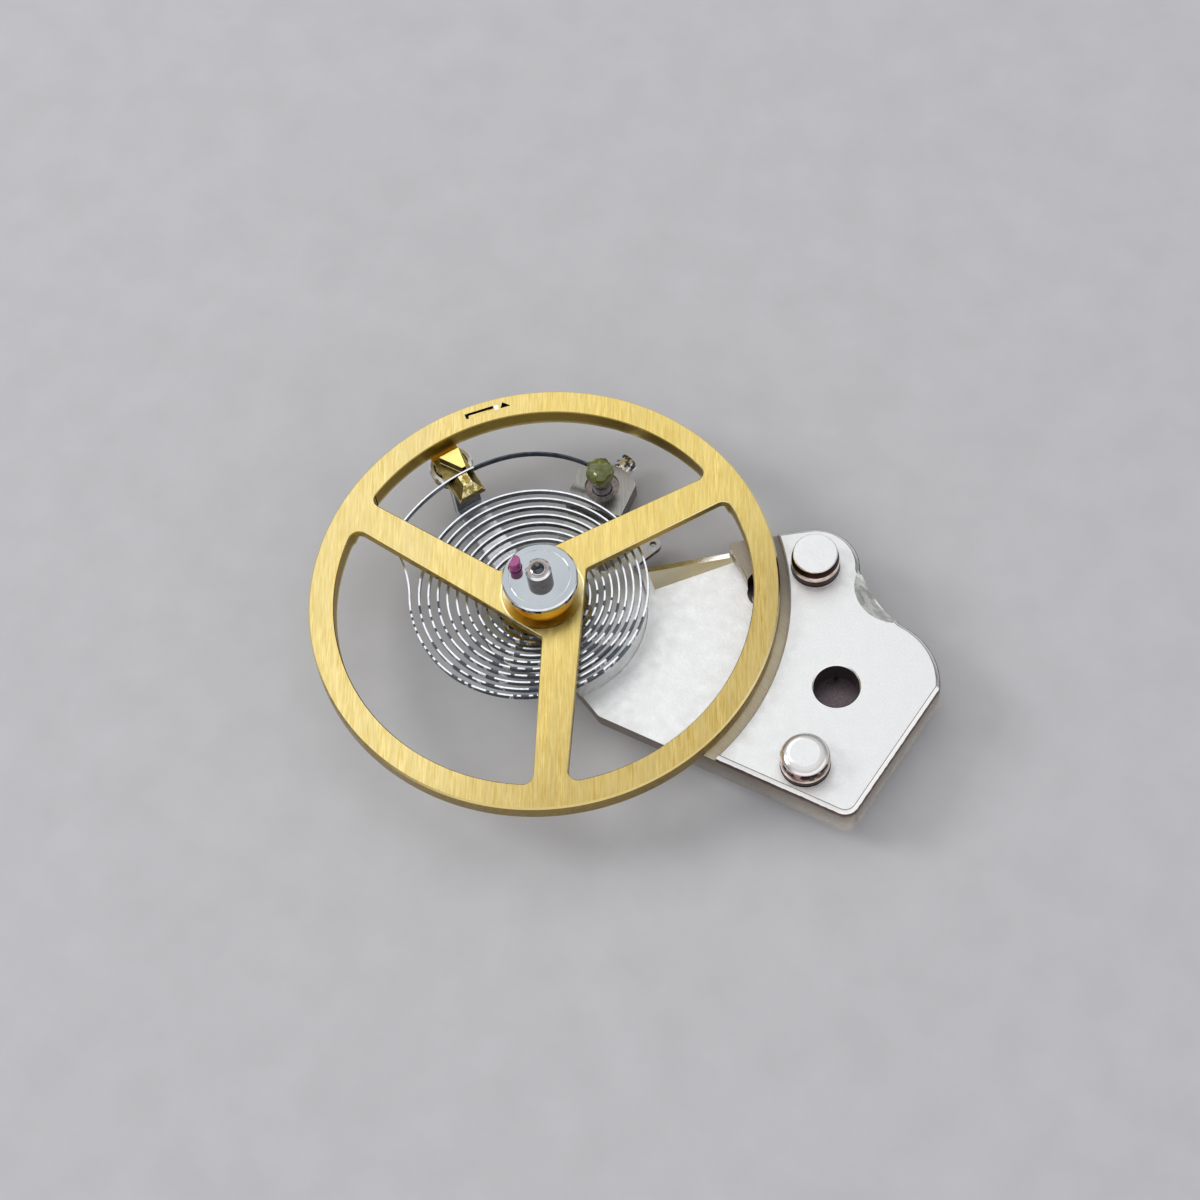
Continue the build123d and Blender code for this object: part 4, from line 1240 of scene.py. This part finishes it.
def facet_cutters():
    """The slanted facet across the arm, and the bright strip along its upper edge."""
    run, back = Vector((1.332, 1.098, 0)), Vector((-0.498, 0.449, -0.22))
    up = run.cross(back).normalized()
    across = up.cross(run.normalized())
    corner = Vector((1.898, 1.142, -0.48))
    spots = [
        corner + run * a + across * (0.78 * b) + up * height
        for a in (0, 1)
        for b in (0, 1)
        for height in (0, 0.88)
    ]
    # The facet takes the warm finish of a painted reflection.
    facet = hull("facet", spots, FACET, COCK_FINISHES)
    spots = []
    for along in (0.9, 2.72):
        edge = Vector((0.602 + 0.891 * along, 1.208 + 0.4538 * along, 0))
        height = corner.z - (up.x * (edge.x - corner.x) + up.y * (edge.y - corner.y)) / up.z
        for aside in (-0.13, 0.10):
            spot = edge + Vector((-0.4538, 0.891, 0)) * aside
            spots += [(spot.x, spot.y, height), (spot.x, spot.y, 0.1)]
    return [facet, hull("strip", spots, BEVEL, COCK_FINISHES)]


def turned_cutters(rows):
    """Turned cutters from rows of a name, a place, a count of steps and a profile."""
    return [
        lathe(name, profile, COCK_FINISHES, spot, steps) for name, spot, steps, profile in rows
    ]


def sunk_levels():
    """What is sunk into the cock's upper side: the ledge, the pocket and the recess."""
    axis, pocket_middle = (0, 0), (1.171, -0.249)
    # The ledge's floor is gilt with painted shade under the rim; its wall is a dark line of painted shade.
    ledge = [(0, -0.14, LEDGE), (4.88, -0.14, LINE), (4.88, -0.03, FROSTED)]
    ledge += [(4.95, 0.04, FROSTED), (0, 0.04, FROSTED)]
    pocket = [(0, -0.48, FROSTED), (3.192, -0.48, WALL), (3.192, -0.16, BEVEL)]
    pocket += [(3.252, -0.10, FROSTED), (3.252, 0.2, FROSTED), (0, 0.2, FROSTED)]
    recess = [(0, -0.58, FROSTED), (2.02, -0.58, WALL), (2.02, -0.50, BEVEL)]
    recess += [(2.07, -0.45, FROSTED), (2.07, 0.2, FROSTED), (0, 0.2, FROSTED)]
    return turned_cutters(
        [
            ("ledge", axis, 256, ledge),
            ("pocket", pocket_middle, 192, pocket),
            ("recess", axis, 192, recess),
        ]
    )


def holes():
    """The cock's holes: the bore, the notch, the relief, the screw's and those of the pins."""
    bore = [(0, -1.0, FROSTED), (0.925, -1.0, BEVEL), (0.90, -0.87, WALL)]
    bore += [(0.90, -0.4, WALL), (0, -0.4, FROSTED)]
    notch = [(0, -0.36), (0.44, -0.36), (0.83, 0), (0.938, 0.1), (0, 0.1)]
    relief = [(0, -0.56, SHADE), (0.33, -0.56, SHADE), (0.33, 0.2, FROSTED), (0, 0.2, FROSTED)]
    hole = [(0, -1.0, FROSTED), (0.45, -1.0, SHADE), (0.45, -0.025, BEVEL)]
    hole += [(0.50, 0.025, FROSTED), (0, 0.025, FROSTED)]
    sink = [(0, -1.0, FROSTED), (0.83, -1.0, BEVEL), (0.80, -0.85, WALL)]
    sink += [(0.80, -0.54, SHADE), (0, -0.54, FROSTED)]
    pin = [(0, -0.50, SHADE), (0.31, -0.50, SHADE), (0.31, -0.04, SHADE), (0.49, -0.04, SHADE)]
    pin += [(0.49, 0, BEVEL), (0.52, 0.03, FROSTED), (0, 0.03, FROSTED)]
    return turned_cutters(
        [
            ("bore", (0, 0), 96, bore),
            ("notch", (6.540, 2.465), 96, [(*point, CHATTER) for point in notch]),
            ("relief", (4.002, 1.752), 48, relief),
            ("hole", SCREW_HOLE, 96, hole),
            ("sink", SCREW_HOLE, 96, sink),
            ("pin_far", FAR_PIN, 48, pin),
            ("pin_near", NEAR_PIN, 48, pin),
        ]
    )


class BALANCE_OT_cock(bpy.types.Operator):
    """Builds the cock: its plate, all that is sunk into it, and its two steady pins"""

    bl_idname = "balance.cock"
    bl_label = "Cock"

    def execute(self, context):
        wall_foot, rounding = -0.82, 0.06
        levels = [(wall_foot - rounding, -rounding, BEVEL)]
        for turn in (math.radians(30), math.radians(60)):
            drop, growth = rounding * math.cos(turn), rounding * math.sin(turn) - rounding
            levels.append((wall_foot - drop, growth, BEVEL))
        # The wall and the foot's bevel carry painted shade, and a thin line of painted shade runs between the
        # bevel and the top.
        levels += [(wall_foot, 0, WALL), (-0.085, 0, FOOT_BEVEL)]
        levels += [(-0.008, -0.077, LINE), (0, -0.089, FROSTED)]
        cock = loft("cock_plate", cock_outline(), levels, COCK_FINISHES)
        cut(cock, sunk_levels() + facet_cutters() + holes())
        hand_over(cock, "cock", "frosted_nickel", "balance_cock")
        # The pins' sides are painted in dark, cream and blotched bands: painted reflections.
        frosted, bevel, painted_dark, painted_cream, painted_patches = range(5)
        finishes = ["nickel_frosted", "nickel_bevel", "pin_dark", "pin_cream", "pin_patches"]
        foot = [(0, -0.49, painted_dark), (0.305, -0.49, painted_dark), (0.305, 0.02, painted_dark)]
        foot += [(0.47, 0.02, bevel), (0.48, 0.03, painted_dark)]
        far = [(0.48, 0.19, painted_cream), (0.475, 0.33, painted_dark), (0.445, 0.505, bevel), (0.425, 0.53, frosted)]
        near = [(0.48, 0.15, painted_cream), (0.48, 0.23, painted_patches)]
        crown_kinds = (painted_patches, painted_patches, bevel, bevel, bevel, bevel, frosted)
        near += [(*p, kind) for p, kind in zip(sweep((0.29, 0.34), 0.19, 0, 90, 6), crown_kinds)]
        for name, spot, bands in (("far", FAR_PIN, far), ("near", NEAR_PIN, near)):
            profile = foot + bands + [(0, 0.53, frosted)]
            piece = lathe("steady_pin_" + name + "_turned", profile, finishes, spot, 96)
            hand_over(piece, "cock", "steady_pin_metal", "steady_pin_" + name)
        return {"FINISHED"}


class BALANCE_OT_shock(bpy.types.Operator):
    """Dresses the shock block, its setting, jewels and lyre spring"""

    bl_idname = "balance.shock"
    bl_label = "Shock setting"

    def execute(self, context):
        gleam = context.scene.balance_sizes.edge_gleam / MILLIMETRE
        rows = [
            ("shock_block", "cock", "shock_block_metal", "brass_setting", "gilt_bevel"),
            ("jewel_setting", "setting", "setting_brass", "brass_setting", "gilt_bevel"),
            ("hole_jewel", "setting", "ruby", "ruby", "ruby"),
            ("cap_jewel", "setting", "ruby", "ruby", "ruby"),
            ("shock_spring", "lyre", "spring_steel", "gold_block", "gilt_bevel"),
        ]
        for name, body, slot, main_finish, edge_finish in rows:
            piece = eased_copy(name, gleam * 0.6, main_finish, edge_finish)
            if name == "shock_block":
                room = [(x, y, z) for x in (-0.70, -0.60) for y in (-0.52, 0.52) for z in (-1.4, -1.07)]
                cut(piece, [hull("room_for_lyre", room, 0, [main_finish, edge_finish])])
            hand_over(piece, body, slot, name)
        return {"FINISHED"}


class BALANCE_OT_stud(bpy.types.Operator):
    """Dresses the stud carrier, the stud, its screw and its glue"""

    bl_idname = "balance.stud"
    bl_label = "Stud carrier"

    def execute(self, context):
        gleam = context.scene.balance_sizes.edge_gleam / MILLIMETRE
        rows = [
            ("stud_carrier", "carrier_steel", "steel_carrier", "steel_bevel"),
            ("hairspring_stud", "stud_steel", "steel_polished", "steel_bevel"),
            ("stud_screw", "screw_steel", "steel_screw", "steel_bevel"),
        ]
        stud = (0, context.scene.balance_sizes.stud_circle / MILLIMETRE)
        for name, slot, main_finish, edge_finish in rows:
            piece = eased_copy(name, gleam * (3 if name == "stud_carrier" else 1), main_finish, edge_finish)
            # The carrier's sides and sunk ring take the dark line finish: painted shade.
            if name == "stud_carrier":
                piece.data.materials.append(finish("edge_line"))
                main, line = 0, 2
                crown = max(vertex.co.z for vertex in piece.data.vertices)
                for face in piece.data.polygons:
                    sunk = 0.04 < crown - face.center.z < 0.08
                    if face.material_index == main and (sunk or abs(face.normal.z) < 0.5):
                        face.material_index = line
            hand_over(piece, "carrier", slot, name)
        profile = [(0, -0.335), (0.20, -0.335)]
        profile += [(0.23 + 0.045 * math.sin(math.radians(10 * k)), -0.30 + 0.03 * k) for k in range(10)]
        profile += [(0.275, 0.00), (0.27, 0.05), (0.24, 0.085), (0.19, 0.105), (0.12, 0.115)]
        profile += [(0.06, 0.12), (0, 0.12)]
        glue = lathe("stud_glue_lumps", [(*point, 0) for point in profile], ["glue"], stud, 48)
        for vertex in glue.data.vertices:
            lump = wave.noise(vertex.co * 7)
            outward = Vector((*(vertex.co.xy - Vector(stud)), 0))
            vertex.co += outward * (0.16 * lump) + Vector((0, 0, 0.04 * lump))
        hand_over(glue, "carrier", "stud_glue", "stud_glue")
        return {"FINISHED"}


class BALANCE_OT_regulator(bpy.types.Operator):
    """Dresses the regulator index and its block"""

    bl_idname = "balance.regulator"
    bl_label = "Regulator"

    def execute(self, context):
        gleam = context.scene.balance_sizes.edge_gleam / MILLIMETRE
        piece = eased_copy("regulator_index", gleam * 2.5, "steel_satin", "steel_bevel")
        piece.data.materials.append(finish("steel_deep"))
        main, painted_shade_side, facets, amber = 0, 2, 3, 4
        # The index's sides take the dark steel: painted shade.
        for face in piece.data.polygons:
            if face.material_index == main and abs(face.normal.z) < 0.5:
                face.material_index = painted_shade_side
        hand_over(piece, "index", "polished_steel", "regulator_index")
        finishes = ["gold_block", "gilt_bevel", "block_side", "block_facets", "gilt_amber"]
        piece = eased_copy("regulator_block", gleam, *finishes)
        out, side = Vector(level(141)), Vector(level(231))
        tail_start, tail_length, tail_lean, prong_hollow = 3.54, 0.58, 0.055, 0.08
        for vertex in piece.data.vertices:
            reach, aside = vertex.co.dot(out), vertex.co.dot(side)
            if vertex.co.z > -0.10 and 3.5 < reach < 4.2 and abs(aside) < 0.27:
                vertex.co -= side * (tail_lean * (reach - tail_start) / tail_length)
            if vertex.co.z > -0.10 and 3.39 < reach < 3.43:
                vertex.co -= out * (prong_hollow * abs(aside))
        # The block's sides and lower faces take the dark side finish: painted shade.
        for face in piece.data.polygons:
            if face.material_index == main and (abs(face.normal.z) < 0.9 or face.center.z < 0.1):
                face.material_index = painted_shade_side

        def spot(reach, aside, height):
            return out * reach + side * aside + Vector((0, 0, height))

        def slope(edge, foot, beyond):
            return [(edge, 0.135), (foot, -0.05), (foot, 0.2), (edge, 0.2), (beyond, -0.05), (beyond, 0.2)]

        flanks, width, heights = (2.9, 3.45), (-0.4, 0.4), (-0.095, 0.2)
        # Flanks cut in painted shade, a top of painted facet reflections, and the end under the rim in
        # painted amber shade.
        rows = [
            (painted_shade_side, [spot(reach, a, z) for reach in flanks for a, z in slope(0.08, 0.27, 0.37)]),
            (painted_shade_side, [spot(reach, -a, z) for reach in flanks for a, z in slope(0.11, 0.27, 0.37)]),
            (facets, [spot(reach, a, z) for a in width for reach, z in slope(3.15, 2.96, 2.86)]),
            (amber, [spot(reach, a, z) for reach in (4.13, 4.4) for a in width for z in heights]),
        ]
        cut(piece, [hull("facet", corners, kind, finishes) for kind, corners in rows])
        # The top's inner end takes the patchy facet finish: painted reflections over real bumps.
        for face in piece.data.polygons:
            if face.normal.z > 0.9 and face.center.z > 0.1 and face.center.dot(out) < 3.45:
                face.material_index = facets
        hand_over(piece, "block", "gilt_block", "regulator_block")
        return {"FINISHED"}


def lay_floor(scene):
    """A wide, pale floor under the shock block."""
    bm = bmesh.new()
    bmesh.ops.create_circle(bm, cap_ends=True, radius=0.4, segments=96)
    mesh = bpy.data.meshes.new("floor")
    bm.to_mesh(mesh)
    bm.free()
    mesh.transform(Matrix.Translation((0, 0, FLOOR_HEIGHT)))
    floor = bpy.data.objects.new("floor", mesh)
    scene.collection.objects.link(floor)
    made, tree, shader, place = blank("floor_plain")
    pale = tuple(scene.balance_colours.floor)
    mottle = noise(tree, place, FLOOR_MARKS)
    tone = mixed(tree, span(tree, mottle, 0.3, 0.7, 0, 1), pale, [c * 0.94 for c in pale])
    tree.links.new(tone, shader.inputs["Base Color"])
    shader.inputs["Roughness"].default_value = 0.9
    mesh.materials.append(made)


def hang_lamps(scene, middle):
    """Three square lamps that look at the middle; each has a place, a size and a power."""
    lamps = (
        ("lamp_top", (-0.06, 0.06, 0.13), 0.09, 0.0170),
        ("lamp_key", (-0.155, -0.027, 0.123), 0.07, 0.10),
        ("lamp_fill", (-0.13, -0.05, 0.07), 0.06, 0.008),
    )
    for name, spot, size, power in lamps:
        light = bpy.data.lights.new(name, "AREA")
        light.shape = "SQUARE"
        light.size = size
        light.energy = power
        lamp = bpy.data.objects.new(name, light)
        lamp.location = middle + Vector(spot)
        lamp.rotation_euler = Vector(spot).to_track_quat("Z", "Y").to_euler()
        scene.collection.objects.link(lamp)


def light_world(scene):
    """A sky that brightens upwards, with a low glow behind the camera."""
    world = bpy.data.worlds.new("studio")
    world.use_nodes = True
    tree = world.node_tree
    tree.nodes.clear()
    sky = node(tree, "ShaderNodeTexCoord").outputs["Generated"]
    rise = node(tree, "ShaderNodeSeparateXYZ", {0: sky}).outputs["Z"]
    base = span(tree, rise, 0, 1, 0.16, 0.80)
    ahead = vectors(tree, "DOT_PRODUCT", sky, level(-45), "Value")
    front = span(tree, ahead, 0.0, 0.5, 0, 0.6)
    low = span(tree, rise, 0.42, 0.65, 1, 0)
    glow = maths(tree, "MULTIPLY_ADD", front, low, base)
    seen = node(tree, "ShaderNodeLightPath").outputs["Is Camera Ray"]
    strength = node(tree, "ShaderNodeMix", {0: seen, 2: glow, 3: 0.8}).outputs[0]
    light = node(tree, "ShaderNodeBackground", {"Color": (0.97, 0.98, 1, 1), "Strength": strength})
    node(tree, "ShaderNodeOutputWorld", {"Surface": light.outputs[0]})
    scene.world = world


def aim_camera(scene, middle):
    """The camera, by its rise and roll and its turn about the axis; offsets are in millimetres."""
    rise, roll = math.radians(61.521), math.radians(9.8445)
    right = Vector((1, 0, 0))
    up = Vector((0, math.sin(rise), math.cos(rise)))
    back = Vector((0, -math.cos(rise), math.sin(rise)))
    camera_right = right * math.cos(roll) - up * math.sin(roll)
    camera_up = right * math.sin(roll) + up * math.cos(roll)
    offset = camera_right * 1.138 - camera_up * 0.175 + back * 52.198
    rim_top = Vector((0, 0, 0.40))
    turn = Matrix.Rotation(math.radians(29.08), 3, "Z")
    data = bpy.data.cameras.new("camera")
    data.sensor_width = 36
    data.lens = 79.003
    data.clip_start = 0.001
    data.clip_end = 5
    camera = bpy.data.objects.new("camera", data)
    basis = Matrix((turn @ camera_right, turn @ camera_up, turn @ back)).transposed()
    spot = middle + (rim_top + turn @ offset) * MILLIMETRE
    camera.matrix_world = Matrix.Translation(spot) @ basis.to_4x4()
    scene.collection.objects.link(camera)
    scene.camera = camera


class BALANCE_OT_stage(bpy.types.Operator):
    """Sets the floor, the lamps, the world and the camera"""

    bl_idname = "balance.stage"
    bl_label = "Stage"

    def execute(self, context):
        scene = context.scene
        middle = Vector((AXIS_X, 0, 0))
        lay_floor(scene)
        hang_lamps(scene, middle)
        light_world(scene)
        scene.view_settings.view_transform = "Standard"
        aim_camera(scene, middle)
        return {"FINISHED"}


class BALANCE_PT_pieces(bpy.types.Panel):
    """Lists the pieces and their sizes and colours"""

    bl_idname = "BALANCE_PT_pieces"
    bl_label = "Balance complete"
    bl_space_type = "VIEW_3D"
    bl_region_type = "UI"
    bl_category = "Balance"

    def draw(self, context):
        for operator in OPERATORS:
            self.layout.operator(operator.bl_idname)
        for group in (context.scene.balance_sizes, context.scene.balance_colours):
            box = self.layout.box()
            for name in group.__annotations__:
                box.prop(group, name)


OPERATORS = (
    BALANCE_OT_wheel,
    BALANCE_OT_hairspring,
    BALANCE_OT_staff,
    BALANCE_OT_rollers,
    BALANCE_OT_cock,
    BALANCE_OT_shock,
    BALANCE_OT_stud,
    BALANCE_OT_regulator,
    BALANCE_OT_stage,
)
CLASSES = (BalanceSizes, FinishColours, *OPERATORS, BALANCE_PT_pieces)


def register():
    """Registers the classes and the scene's properties."""
    for each in CLASSES:
        bpy.utils.register_class(each)
    bpy.types.Scene.balance_sizes = bpy.props.PointerProperty(type=BalanceSizes)
    bpy.types.Scene.balance_colours = bpy.props.PointerProperty(type=FinishColours)


def unregister():
    """Takes the properties and the classes away."""
    del bpy.types.Scene.balance_colours
    del bpy.types.Scene.balance_sizes
    for each in reversed(CLASSES):
        bpy.utils.unregister_class(each)


def main():
    """Builds every piece in order."""
    register()
    bpy.ops.balance.wheel()
    bpy.ops.balance.hairspring()
    bpy.ops.balance.staff()
    bpy.ops.balance.rollers()
    bpy.ops.balance.cock()
    bpy.ops.balance.shock()
    bpy.ops.balance.stud()
    bpy.ops.balance.regulator()
    bpy.ops.balance.stage()
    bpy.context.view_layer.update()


if __name__ == "__main__":
    main()
